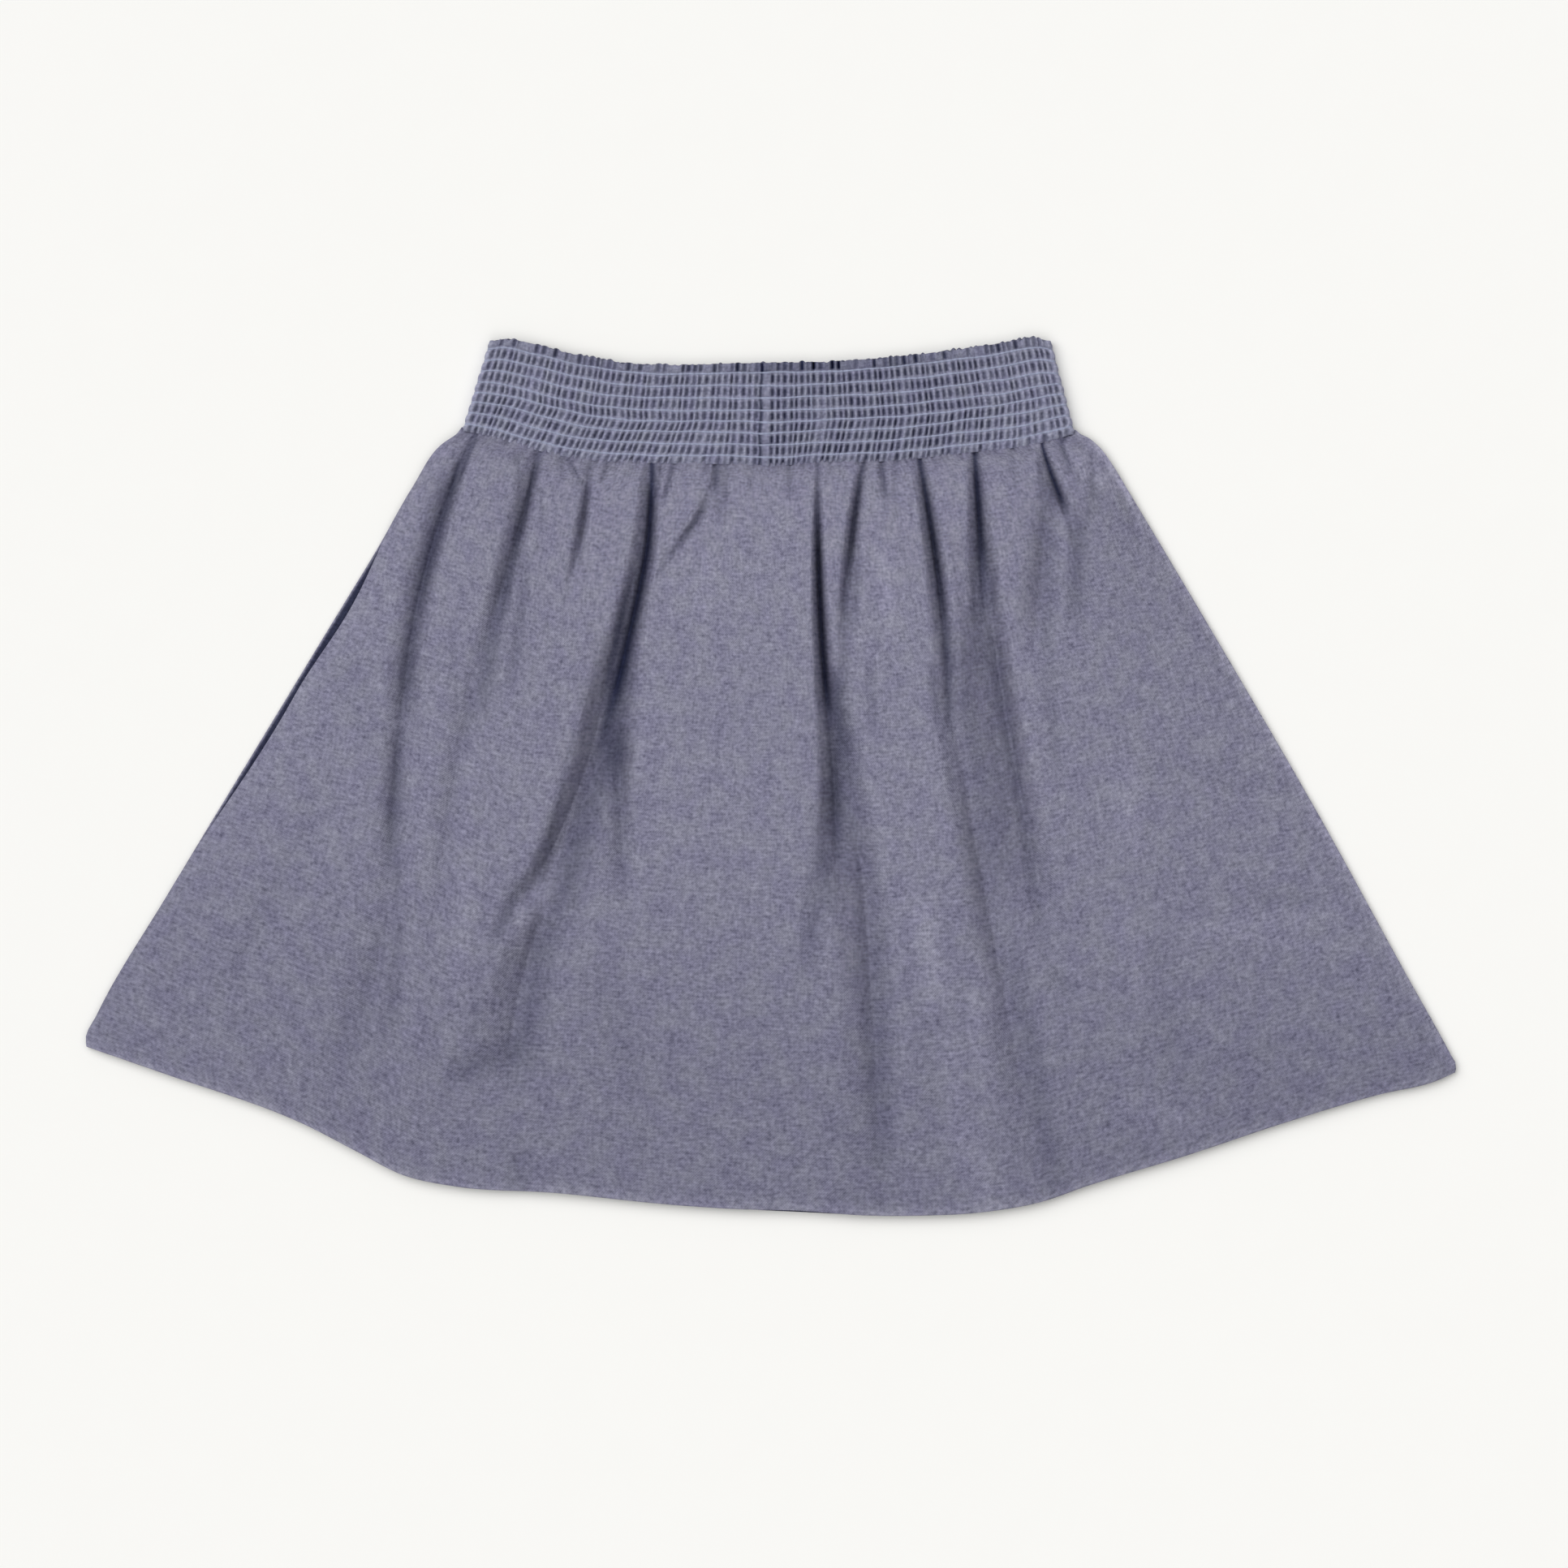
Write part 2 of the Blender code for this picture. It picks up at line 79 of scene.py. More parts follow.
BAND_TOP: Points = (
    (-105.4, 163.6), (-100.7, 164.5), (-88.5, 162.4), (-70.2, 158.0), (-51.9, 155.3),
    (-22.0, 155.1), (-4.0, 155.4), (15.3, 155.7), (45.8, 157.6), (82.4, 162.2),
    (100.7, 164.5), (104.8, 163.4),
)

CURVE_SAMPLES = 400
PANEL_LENGTH = 280.0
HEM_DEPTH = 35.0
# Share of the wall that is left at its rounded edge
EDGE_LEFT = 0.25
# How far above its upper end a fold starts to form
GATHER_REACH = 9.0
# Share of the way down a fold where it starts to sway
SWAY_START = 0.28
# Reach of a fold's shade: its share to the left, and how it grows from top to bottom
SHADE_LEFT, SHADE_TOP, SHADE_GROWTH = 0.55, 0.8, 0.8
# Shares of a crease's length over which it starts and ends
CREASE_START, CREASE_END = 0.22, 0.35
# A distance that is beyond the reach of every bell, in millimetres
FAR = 20.0
# Numbers of the large sine behind scattered()
CHANCE_TURNS, CHANCE_START, CHANCE_SPREAD = (12.9898, 78.233, 37.719), 1.7, 4375.85453
# How far the waves in ripple() bend, and how long a bend is in waves
BEND, BEND_LENGTH = 0.9, 1.7


class Edge(Enum):
    """An edge of a panel as it lies."""

    LEFT = "left"
    HEM = "hem"


class Layer(Enum):
    """A layer of the laid skirt: the back lies on top and looks up, the front looks down."""

    BACK = "back"
    FRONT = "front"


def smooth_curve(points: Points, samples: int = CURVE_SAMPLES) -> Array:
    """Sample the smooth line through points, a cubic piece between each two.

    Args:
        points: Stations of the line.
        samples: How many points to return, evenly spread along the chords.

    Returns:
        An array of samples by 2.
    """
    p = np.array(points, dtype=float)
    chord = np.concatenate(([0.0], np.cumsum(np.hypot(*np.diff(p, axis=0).T))))
    slope = np.gradient(p, chord, axis=0)
    t = np.linspace(0.0, chord[-1], samples)
    k = np.clip(np.searchsorted(chord, t, side="right") - 1, 0, len(p) - 2)
    span = (chord[k + 1] - chord[k])[:, None]
    s = ((t - chord[k]) / span[:, 0])[:, None]
    blend = s * s * (3.0 - 2.0 * s)
    tangent_in = s * (1.0 - s) ** 2 * span * slope[k]
    tangent_out = -s * s * (1.0 - s) * span * slope[k + 1]
    return (1.0 - blend) * p[k] + blend * p[k + 1] + tangent_in + tangent_out


def along(curve: Array, share: Array) -> tuple[Array, Array]:
    """Find points of a sampled curve.

    Args:
        curve: The sampled curve.
        share: Shares of its length, in an array of any shape.

    Returns:
        Their x and y.
    """
    at = np.linspace(0.0, 1.0, len(curve))
    return np.interp(share, at, curve[:, 0]), np.interp(share, at, curve[:, 1])


def ease(t: Array) -> Array:
    """Return 0 below 0 and 1 above 1, with a soft S between."""
    t = np.clip(t, 0.0, 1.0)
    return t * t * (3.0 - 2.0 * t)


def rise(t: Array, start: float, span: float) -> Array:
    """Return 0 up to start and 1 from start + span on, with a soft S between."""
    return ease((t - start) / span)


def bell(away: Array, width: Array | float) -> Array:
    """Return the bell curve of away over width, 1 in its middle."""
    return np.exp(-((away / width) ** 2))


def from_low(low: float, share: Array) -> Array:
    """Return low where share is 0 and 1 where it is 1, evenly between."""
    return low + (1.0 - low) * share


def slope_in(t: Array) -> Array:
    """Return a slope from 0 at t = 0 that rounds over to 1 at t = 1.5."""
    t = np.clip(t, 0.0, 1.5) / 1.5
    return 1.0 - (1.0 - t) ** 2.0


def rolled(distance: Array, radius: float) -> Array:
    """Work out how much of a wall is left near its rounded edge, by a quarter of a circle.

    Args:
        distance: Distance from the edge.
        radius: Distance at which the wall has its whole thickness.

    Returns:
        Shares of the thickness, EDGE_LEFT at the edge itself.
    """
    inward = 1.0 - np.clip(distance / radius, 0.0, 1.0)
    return from_low(EDGE_LEFT, np.sqrt(1.0 - inward ** 2))


def scattered(*keys: Array | float) -> Array:
    """Give each key a steady value that looks like chance, the fraction of a large sine.

    Args:
        keys: Arrays of numbers, such as the index of a gather, or single numbers.

    Returns:
        Values from 0 to 1.
    """
    total = sum(key * weight for key, weight in zip(keys, CHANCE_TURNS))
    value = np.sin(total + CHANCE_START) * CHANCE_SPREAD
    return value - np.floor(value)


def ripple(x: Array, y: Array) -> Array:
    """Sum slow waves that cross each other, like the loft of washed cloth.

    Args:
        x: Places across, in millimetres.
        y: Places along, in millimetres.

    Returns:
        Values of about -1 to 1.
    """
    total = np.zeros_like(x)
    for turn, length, phase, weight in RIPPLES:
        way = x * math.cos(turn) + y * math.sin(turn)
        beside = x * math.sin(turn) - y * math.cos(turn)
        bend = BEND * np.sin(beside / (BEND_LENGTH * length) + phase)
        total += weight * np.sin(2.0 * math.pi * way / length + phase + bend)
    return total


# Waves of the cloth between its folds. Columns: direction in radians, length, phase, weight
RIPPLES = (
    (0.15, 31.0, 0.4, 0.30), (1.45, 43.0, 2.1, 0.22), (0.75, 23.0, 4.0, 0.20),
    (2.40, 17.0, 1.2, 0.15), (-0.35, 12.5, 3.3, 0.12), (1.85, 9.5, 5.2, 0.07),
)


@dataclass(frozen=True)
class PanelPlan:
    """The outline of a skirt panel as it lies, by its four edge curves in millimetres."""

    waist: Array
    hem: Array
    left: Array
    right: Array

    @classmethod
    def laid(cls) -> "PanelPlan":
        """Return the outline that both panels share."""
        return cls(
            smooth_curve(WAIST_SEAM), smooth_curve(HEM_LINE),
            smooth_curve(SIDE_LEFT), smooth_curve(SIDE_RIGHT),
        )

    def drawn_in(self, edge: Edge, centre: float, reach: float, width: float) -> "PanelPlan":
        """Draw an edge in, by a cosine hump, where the layer below shows past it.

        Args:
            edge: The edge to draw in.
            centre: Middle of the hump: its y on a side, its x on the hem.
            reach: Half the hump's length.
            width: How far it goes in.

        Returns:
            The new outline.
        """
        left, hem = self.left.copy(), self.hem.copy()
        curve, run, across = (left, 1, 0) if edge is Edge.LEFT else (hem, 0, 1)
        phase = np.clip((curve[:, run] - centre) / reach, -1.0, 1.0) * math.pi / 2.0
        curve[:, across] += width * np.cos(phase) ** 2
        return PanelPlan(self.waist, hem, left, self.right)

    def place(self, u: Array, v: Array) -> tuple[Array, Array]:
        """Find plan positions on the Coons patch between the four edges.

        The patch is the blend of left and right by u, plus the blend of waist and hem by v,
        less the blend of the four corners by both.

        Args:
            u: Shares of the way from the left side to the right one.
            v: Shares of the way from the waist to the hem.

        Returns:
            x and y in millimetres.
        """
        top, bottom = along(self.waist, u), along(self.hem, u)
        left, right = along(self.left, v), along(self.right, v)
        corners = (
            ((1 - u) * (1 - v), self.waist[0]), (u * (1 - v), self.waist[-1]),
            ((1 - u) * v, self.hem[0]), (u * v, self.hem[-1]),
        )
        x, y = (
            (1 - v) * top[i] + v * bottom[i] + (1 - u) * left[i] + u * right[i]
            - sum(share * corner[i] for share, corner in corners)
            for i in (0, 1)
        )
        return x, y

    def width(self, v: Array) -> Array:
        """Return the distance from side to side at the shares v of the way down."""
        left, right = along(self.left, v), along(self.right, v)
        return np.hypot(right[0] - left[0], right[1] - left[1])


@dataclass(frozen=True)
class Fold:
    """A fold of the back panel: a valley along the parabola x(y) through three stations.

    depth is the share of the cloth's lift that it takes, start the share of that at its upper
    end. It is full from peak to hold, shares of its length, and then dies away. The left and
    right flanks have their widths at the upper and at the lower end. edge is their sharpness:
    1 is a straight V, and more gives a rounder crest and a narrower valley. dark is how much
    less light gets into the bottom of the valley, over spread to its right and half that to
    its left. sway is how far the lower three quarters of the valley bow out to the right, by
    half a sine.
    """

    name: str
    x0: float
    y0: float
    x1: float
    y1: float
    x2: float
    y2: float
    depth: float
    start: float
    peak: float
    hold: float
    left0: float
    left2: float
    right0: float
    right2: float
    edge: float
    dark: float = 0.0
    spread: float = 2.0
    sway: float = 0.0

    def share(self, y: Array) -> Array:
        """Return how far down the fold the heights y are, as a share of its length."""
        return (self.y0 - y) / (self.y0 - self.y2)

    def line(self, y: Array) -> Array:
        """Return x of the valley at the heights y, by the three-point formula and its sway."""
        x0, y0, x1, y1, x2, y2 = self.x0, self.y0, self.x1, self.y1, self.x2, self.y2
        turn = math.pi * np.clip((self.share(y) - SWAY_START) / (1.0 - SWAY_START), 0.0, 1.0)
        return (
            self.sway * np.sin(turn)
            + x0 * (y - y1) * (y - y2) / ((y0 - y1) * (y0 - y2))
            + x1 * (y - y0) * (y - y2) / ((y1 - y0) * (y1 - y2))
            + x2 * (y - y0) * (y - y1) / ((y2 - y0) * (y2 - y1))
        )

    def strength(self, y: Array) -> Array:
        """Return how far the fold is formed at the heights y, from 0 to 1."""
        s = self.share(y)
        grown = from_low(self.start, ease(s / self.peak))
        faded = 1.0 - rise(s, self.hold, 1.0 - self.hold)
        born = ease(1.0 + s * (self.y0 - self.y2) / GATHER_REACH)
        return grown * faded * born

    def across(self, x: Array, y: Array) -> tuple[Array, Array]:
        """Return how far down the fold (x, y) is, from 0 to 1, and how far right of its line."""
        away = x - self.line(np.clip(y, self.y2, self.y0 + GATHER_REACH))
        return np.clip(self.share(y), 0.0, 1.0), away

    def nearness(self, x: Array, y: Array) -> Array:
        """Return 1 on the valley, falling straight to 0 at the end of each flank."""
        s, away = self.across(x, y)
        width = np.where(
            away < 0.0,
            self.left0 + (self.left2 - self.left0) * s,
            self.right0 + (self.right2 - self.right0) * s,
        )
        return np.clip(1.0 - np.abs(away) / width, 0.0, 1.0)

    def cut(self, x: Array, y: Array) -> Array:
        """Return the share of the lift that the fold takes at (x, y)."""
        return self.depth * self.strength(y) * self.nearness(x, y) ** self.edge

    def shade(self, x: Array, y: Array) -> Array:
        """Return how dark the valley's bottom is at (x, y), by a bell wider on its right."""
        s, away = self.across(x, y)
        reach = self.spread * np.where(away < 0.0, SHADE_LEFT, 1.0)
        reach = reach * (SHADE_TOP + SHADE_GROWTH * s)
        return self.dark * self.strength(y) * bell(away, reach)


# Columns: name, x0, y0, x1, y1, x2, y2, depth, start, peak, hold, left0, left2, right0, right2,
# edge, dark, spread, sway
FOLDS = tuple(Fold(*row) for row in (
    ("side_left", -111.4, 129, -131.5, 70, -138.8, 8, 1.00, 0.9, 0.08, 0.76, 11, 7, 3.2, 11,
     1.6, 0.52, 3.2),
    ("side_left_mid", -138.2, 30, -141.4, -8, -143.2, -48, 0.80, 0.1, 0.25, 0.5, 7, 7, 12, 14,
     1.7, 0.44, 3.0),
    ("side_left_low", -141.5, -20, -149.5, -80, -170.0, -140, 0.55, 0.1, 0.4, 0.5, 12, 18, 12,
     16, 1.6, 0.10, 6.0),
    ("left", -86.2, 124, -98.6, 78, -113.6, 28, 0.97, 0.9, 0.12, 0.06, 6, 7, 3.4, 13,
     1.8, 0.56, 2.2),
    ("left_low", -110.0, 45, -119.2, -8, -126.0, -75, 0.34, 0.1, 0.4, 0.5, 8, 10, 8, 10,
     1.8, 0.08, 3.0),
    ("pucker_left", -67.6, 119, -71.0, 93, -77.4, 62, 0.70, 0.6, 0.25, 0.34, 3, 3, 3, 5,
     2.0, 0.44, 1.5),
    ("centre_left", -44.8, 119, -46.6, 85, -66.4, 2, 1.00, 0.9, 0.12, 0.68, 4, 12, 2.6, 9,
     1.3, 0.92, 2.7, -1.8),
    ("centre_left_down", -60.0, 48, -56.5, -5, -52.0, -64, 0.72, 0.2, 0.30, 0.45, 16, 12, 6,
     8, 1.5, 0.12, 4.0),
    ("diagonal_left", -61.0, 42, -73.5, -8, -101.0, -60, 0.95, 0.3, 0.25, 0.70, 7, 6, 24, 14,
     1.3, 0.14, 3.6),
    ("hem_left", -80.0, -38, -94.0, -78, -98.0, -130, 1.00, 0.1, 0.30, 0.62, 8, 18, 14, 12,
     1.3, 0.08, 5.0),
    ("hem_far_left", -137, -60, -141, -85, -147, -135, 0.40, 0.1, 0.4, 0.6, 8, 12, 8, 12, 1.7),
    ("pucker_centre", -19.8, 119, -26.2, 100, -41.0, 78, 0.34, 0.5, 0.35, 0.50, 3, 2, 4, 3,
     2.0, 0.26, 1.4),
    ("centre_right", 17.7, 119, 18.5, 60, 22.9, 10, 1.00, 0.4, 0.40, 0.76, 1.2, 5, 1.7, 6.0,
     1.4, 0.91, 1.5),
    ("centre_right_low", 20.9, 34, 23.8, -5, 24.6, -52, 0.90, 0.1, 0.35, 0.45, 5, 8, 12, 13,
     1.3, 0.18, 3.0),
    ("right_small", 34.8, 119, 29.7, 85, 26.8, 45, 0.90, 0.9, 0.18, 0.32, 3.0, 4, 3, 8,
     1.8, 0.70, 1.7),
    ("right_small_low", 29.8, 12, 38.3, -87.7, 42.4, -172, 0.82, 0.1, 0.35, 0.70, 12, 14, 11,
     14, 1.4),
    ("right", 55.2, 121, 63.5, 68, 68.8, 8, 1.00, 0.9, 0.15, 0.28, 3.6, 7, 3.5, 7,
     1.6, 0.88, 2.0),
    ("right_low", 65.1, 36, 84.0, -61.8, 103.8, -168, 0.66, 0.3, 0.35, 0.70, 7, 12, 10, 12,
     1.4, 0.10, 4.0),
    ("far_right", 76.2, 123, 78.2, 92, 80.6, 50, 1.00, 0.9, 0.20, 0.36, 3.0, 8, 4, 8,
     1.5, 0.90, 2.2),
    ("far_right_low", 80.2, 82, 94.0, -8, 118, -106, 0.94, 0.4, 0.20, 0.60, 16, 30, 4.5, 9,
     1.0, 0.08, 3.6),
    ("side_right", 101.0, 127, 106.4, 110, 113.5, 94, 0.90, 0.9, 0.25, 0.60, 3.2, 7, 3.0, 5,
     1.7, 0.94, 1.3),
    ("side_right_low", 104.0, 108, 100.9, 72.4, 97.0, 36, 0.46, 0.2, 0.40, 0.50, 9, 9, 12, 12,
     1.5),
))


@dataclass(frozen=True)
class Crease:
    """A small crease along a bowed line between two points, with flanks of unlike width.

    depth is how far it dips, or rises where it is below 0, and bow how far the line's middle
    stands off to the left of its chord. dark is how much less light it gets, or more where it
    is below 0.
    """

    x0: float
    y0: float
    x1: float
    y1: float
    depth: float
    left: float
    right: float
    bow: float = 0.0
    dark: float = 0.0

    def press(self, x: Array, y: Array) -> Array:
        """Work out the crease's form: a soft bell across that fades at both ends.

        Args:
            x: Places across.
            y: Places along.

        Returns:
            Shares of its depth, from 0 to 1.
        """
        length = math.hypot(self.x1 - self.x0, self.y1 - self.y0)
        way_x, way_y = (self.x1 - self.x0) / length, (self.y1 - self.y0) / length
        s = ((x - self.x0) * way_x + (y - self.y0) * way_y) / length
        away = (x - self.x0) * -way_y + (y - self.y0) * way_x - self.bow * 4.0 * s * (1.0 - s)
        width = np.where(away > 0.0, self.left, self.right)
        ends = ease(s / CREASE_START) * ease((1.0 - s) / CREASE_END)
        return ends * ease(1.0 - np.abs(away) / width)


# Columns: x0, y0, x1, y1, depth, left, right, bow, dark
CREASES = tuple(Crease(*row) for row in (
    (-78.6, 122.5, -69.3, 106.5, 1.3, 1.4, 1.1, 0.6, 0.42),
    (-79.4, 123.5, -76.6, 110, 0.9, 1.4, 2.2, 0, 0.24),
    (-21.2, 121.5, -20.6, 103, 1.5, 2.2, 2.2, 0.3, 0.44),
    (-17, 121.5, -18.4, 92, 0.9, 4.2, 5, 0, 0.24),
    (-20.5, 106, -46, 71, 1.1, 4, 1.3, -0.8, 0.28),
    (-109.5, 130, -119, 106, 0.3, 1, 1, 0, 0.4),
    (-87.6, 126, -92.6, 96, 0.3, 1, 0.9, 0, 0.36),
    (106.8, 108, 114.8, 84, 0.3, 1.3, 1.3, 0, 0.3),
    (-35.2, 121, -39.8, 100, 1.2, 1.4, 1.8, -0.7, 0.44),
    (-40.8, 121.5, -45.6, 98, 1.6, 0.9, 1.4, 1.2, 0.18),
    (-44.9, 119, -42, 97, -1.9, 1.1, 1.1, -1),
    (-60.5, 122, -62.9, 110, 1, 1.2, 1.6, 0, 0.3),
    (41, 122.5, 43.6, 100, 1.8, 2, 2, 0, 0.54),
    (46.8, 122, 47.6, 92, 0.9, 2.6, 2.6, 0, 0.14),
    (6.6, 119.5, 8, 102.5, 0.8, 2.2, 2.2, 0, 0.2),
    (90, 127, 92.4, 104, 0.9, 2.6, 2.2, 0, 0.16),
    (100.2, 120, 102, 104, 0.6, 2.4, 2, 0, 0.22),
    (-95.4, 123, -93.6, 106, 0.6, 2.6, 2.2, 0, 0.22),
    (-86.5, 112, -85.4, 88, 0.5, 1.8, 1.8, 0, 0.2),
    (-91, 90, -99.5, 24, 0.9, 4.4, 5, 1.5, 0.24),
    (-99, 84, -110, 16, 0.6, 7, 5, 0, 0.3),
    (-90.6, 108, -103.5, 48, 0.4, 4.2, 3, 0, 0.34),
    (-117, 120, -136, 56, 0.4, 6.5, 9.5, 0, 0.3),
    (-116.8, 121, -121, 104, 0.3, 1.5, 1.2, 0, 0.4),
    (-104, 60, -114, 8, 0.4, 8, 6, 0, 0.14),
    (-119.4, 62, -117, 14, 0.7, 2.2, 2.2, 0, 0.14),
    (-112, 44, -115.6, 4, 0.5, 2.6, 2.6, 0, 0.14),
    (120.2, 123, 121.4, 92, 0.8, 2.4, 2, 0, 0.18),
    (130.5, 112.5, 140.4, 80, 0.9, 2.6, 2, 0, 0.04),
    (24, 10, 12, -86, 0.8, 7, 7, 0, 0.26),
    (-187.5, -40, -205, -90, 0.9, 8, 5, 0, 0.05),
    (-149, -60, -166, -118, 0.7, 8, 6, 0, 0.08),
    (-138.5, -44, -143, -106, 0.5, 5, 5, 0, 0.14),
    (-108, 60, -120, -20, 0.6, 6, 9, 2),
    (160, -107.6, 202, -95, 0.5, 1.6, 5, 0, 0.12),
    (137, 26, 150, 27, 0.5, 5, 2),
    (160, -4, 212, -6, 0.6, 8, 5, 0, 0.05),
    (-166, 42, -116, 41, 0.5, 2.5, 9, 0, 0.04),
    (-4.5, 96, -5.5, 58, 0.35, 4, 4),
    (60, -90, 66, -140, 0.7, 12, 8),
    (140, -60, 158, -125, 0.9, 14, 10, 0, 0.08),
    (-66, -66, -46, -128, 0.8, 12, 10, 0, 0.08),
    (-40, -110, -46, -152, 0.6, 12, 9),
    (-162, 10, -196, -70, 0.6, 12, 9, 0, 0.05),
    (-206, -88, -176, -98, 0.5, 3, 9),
    (104, -72, 116, -84, 0.8, 5, 5, 0, 0.16),
    (-53.5, 74, -66, 0, 0.4, 4.5, 3.6, 0, 0.4),
    (-57, 42, -66, -4, 0.3, 4, 4, 0, 0.1),
    (-50.2, 84, -65, 22, 0.3, 2.2, 2.2, 0, 0.46),
    (-60, 28, -84.5, -50, 0.3, 8, 2, 0, 0.26),
    (-52.5, 52, -62, -10, 0.8, 9.5, 7, 0, 0.3),
    (-58, 26, -55.5, -52, 0.5, 5, 5, 0, 0.2),
    (-53.5, 28, -88, -74, 1, 12, 7, 0, 0.38),
    (-72.5, 22, -88.5, -48, 0.4, 2.8, 2.4, 0, 0.24),
    (-92, -36, -105, -66, 1, 3, 5, 0, 0.34),
    (-84, -48, -96.5, -126, 1, 12, 8, 0, 0.28),
    (-90, -100, -126, -112, 0.7, 10, 8, 0, 0.22),
    (28.4, 74, 26.8, 26, 0.6, 4, 3.4, 0, 0.26),
    (33.4, 86, 30.6, 50, 0.3, 2.4, 2.4, 0, 0.32),
    (36.5, 46, 39, 12, 0.4, 3.2, 2.4, 0, 0.2),
    (20.8, 46, 27, -56, 0.6, 10, 3, 0, 0.42),
    (23.6, 44, 27, 2, 0.3, 6.5, 2.6, 0, 0.36),
    (20, -24, 24, -58, 0.3, 5, 5, 0, 0.22),
    (27, 30, 42, -66, 1, 8, 6, -2, 0.26),
    (60, 46, 62.5, 14, 0.3, 2.2, 2.2, 0, 0.26),
    (64.6, 56, 67.4, 12, 0.3, 3.4, 2.6, 0, 0.42),
    (62.5, 38, 68.5, -14, 0.3, 6, 2.5, 0, 0.16),
    (37, -38, 44, -172, 0.8, 9, 8, 0, 0.27),
    (68, 66, 90, -70, 0.8, 9, 9, 0, 0.28),
    (77.6, 92, 79.5, 56, 0.3, 8.5, 4.5, 0, 0.36),
    (75.4, 82, 76.4, 54, 0.3, 2.2, 1.8, 0, 0.26),
    (83, 80, 83.6, 58, 0.3, 2.2, 2.2, 0, 0.22),
    (77, 70, 78.5, 32, 0.3, 5, 7, 0, 0.22),
    (-92, -49, -94, -68, -0.4, 4.5, 4.5, 0, -0.26),
    (-100, -106, -130, -118, 0.3, 7, 7, 0, 0.08),
    (79, 76, 92, -56, 0.4, 6.5, 6, 0, 0.24),
    (82.4, 66, 104.5, -76, 0.9, 3.4, 5, 0, 0.28),
    (88, -50, 108, -160, 0.8, 8, 7, 0, 0.22),
    (103.5, 118, 102.5, 40, 0.7, 8, 6, 0, 0.27),
    (115.8, 104, 113, 50, 0.8, 7, 6, 0, 0.32),
    (114.6, 130.2, 107.6, 124.6, 0.8, 1.2, 1.2, 0, 0.55),
    (108, 128, 113.4, 112, 0.8, 1.8, 1.6, 0, 0.45),
    (119.5, 116, 125, 98, 0.4, 3, 3, 0, 0.12),
    (120, 128, 139, 98, -0.3, 2.6, 2.6, 0, -0.32),
    (104, -130, 111, -172, 0.3, 9, 9, 0, 0.14),
    (-94, -136, -96, -172, 0.3, 8, 8, 0, 0.16),
    (22, -156, 46, -160, 0.3, 5, 5, 0, 0.1),
    (-141, -24, -139.5, -50, 0.3, 4, 4, 0, 0.18),
    (-109, -80, -112, -102, 0.3, 4, 4, 0, 0.14),
    (178, -44, 210, -48, 0.3, 4.5, 4.5, 0, 0.14),
    (168, -60, 224, -64, -0.3, 3, 3, 0, -0.14),
    (79, -64, 84, -94, -0.3, 5, 5, 0, -0.16),
    (128, -44, 147, -96, -0.4, 8, 8, 0, -0.12),
    (101.5, 66, 109, -12, 0.6, 5, 4, 0, 0.16),
    (110, 123, 134, 104, -0.4, 5, 6, 0, -0.2),
    (70, -126, 86, -172, -0.3, 12, 12, 0, -0.16),
    (75, -72, 83, -134, -0.3, 6, 6, 0, -0.14),
    (124, -120, 170, -134, -0.3, 9, 9, 0, -0.12),
    (-162, 48, -148, 4, 0.3, 12, 12, 0, 0.07),
    (132, 4, 188, 2, 0.3, 6, 6, 0, 0.08),
    (18, -126, 48, -150, 0.3, 8, 8, 0, 0.08),
    (-23.5, 86, -25.5, 52, -0.3, 6, 6, 0, -0.1),
    (134, 8, 137, -38, -0.6, 9, 9, 0, -0.12),
    (150, -60, 226, -50, -0.6, 6, 8, 0, -0.12),
    (54, -40, 66, -96, -0.8, 9, 8, 0, -0.2),
    (66, -92, 74, -140, -0.6, 8, 8, 0, -0.12),
    (-112, -30, -116, -84, -0.8, 6, 6, 0, -0.12),
    (42, 90, 47, 48, -0.7, 6, 6, 0, -0.16),
))


def grid_faces(rows: int, columns: int, first: int, down: bool) -> Array:
    """Index the faces of a grid of points whose rows go down and columns to the right.

    Args:
        rows: Rows of points.
        columns: Points in a row.
        first: Index of the first point.
        down: Whether the faces look down instead of up.

    Returns:
        Four corners for each face.
    """
    i, j = np.meshgrid(np.arange(rows - 1), np.arange(columns - 1), indexing="ij")
    a = (first + i * columns + j).ravel()
    corners = (a, a + 1, a + columns + 1, a + columns)
    return np.stack(corners if down else corners[::-1], axis=1)


def rim_faces(rows: int, columns: int, step: int) -> list[list[int]]:
    """Index the faces round the rim between an outer grid and an inner one.

    Args:
        rows: Rows of the outer grid.
        columns: Points in a row of either grid.
        step: Outer rows for each inner one.

    Returns:
        Corners of each face, which looks away from the shell.
    """
    below = rows * columns
    inner_rows = (rows - 1) // step + 1
    j = np.arange(columns - 1)
    foot = below + (inner_rows - 1) * columns
    last = (rows - 1) * columns
    waist = np.stack((j, j + 1, below + j + 1, below + j), axis=1)
    hem = np.stack((last + j + 1, last + j, foot + j, foot + j + 1), axis=1)
    k = np.arange(inner_rows - 1)[:, None]
    outer = (k * step + np.arange(step + 1)[None, :]) * columns
    inner = below + (k + np.arange(2)[None, :]) * columns
    left = np.concatenate((outer[:, ::-1], inner), axis=1)
    right = np.concatenate((outer, inner[:, ::-1]), axis=1) + columns - 1
    return waist.tolist() + hem.tolist() + left.tolist() + right.tolist()


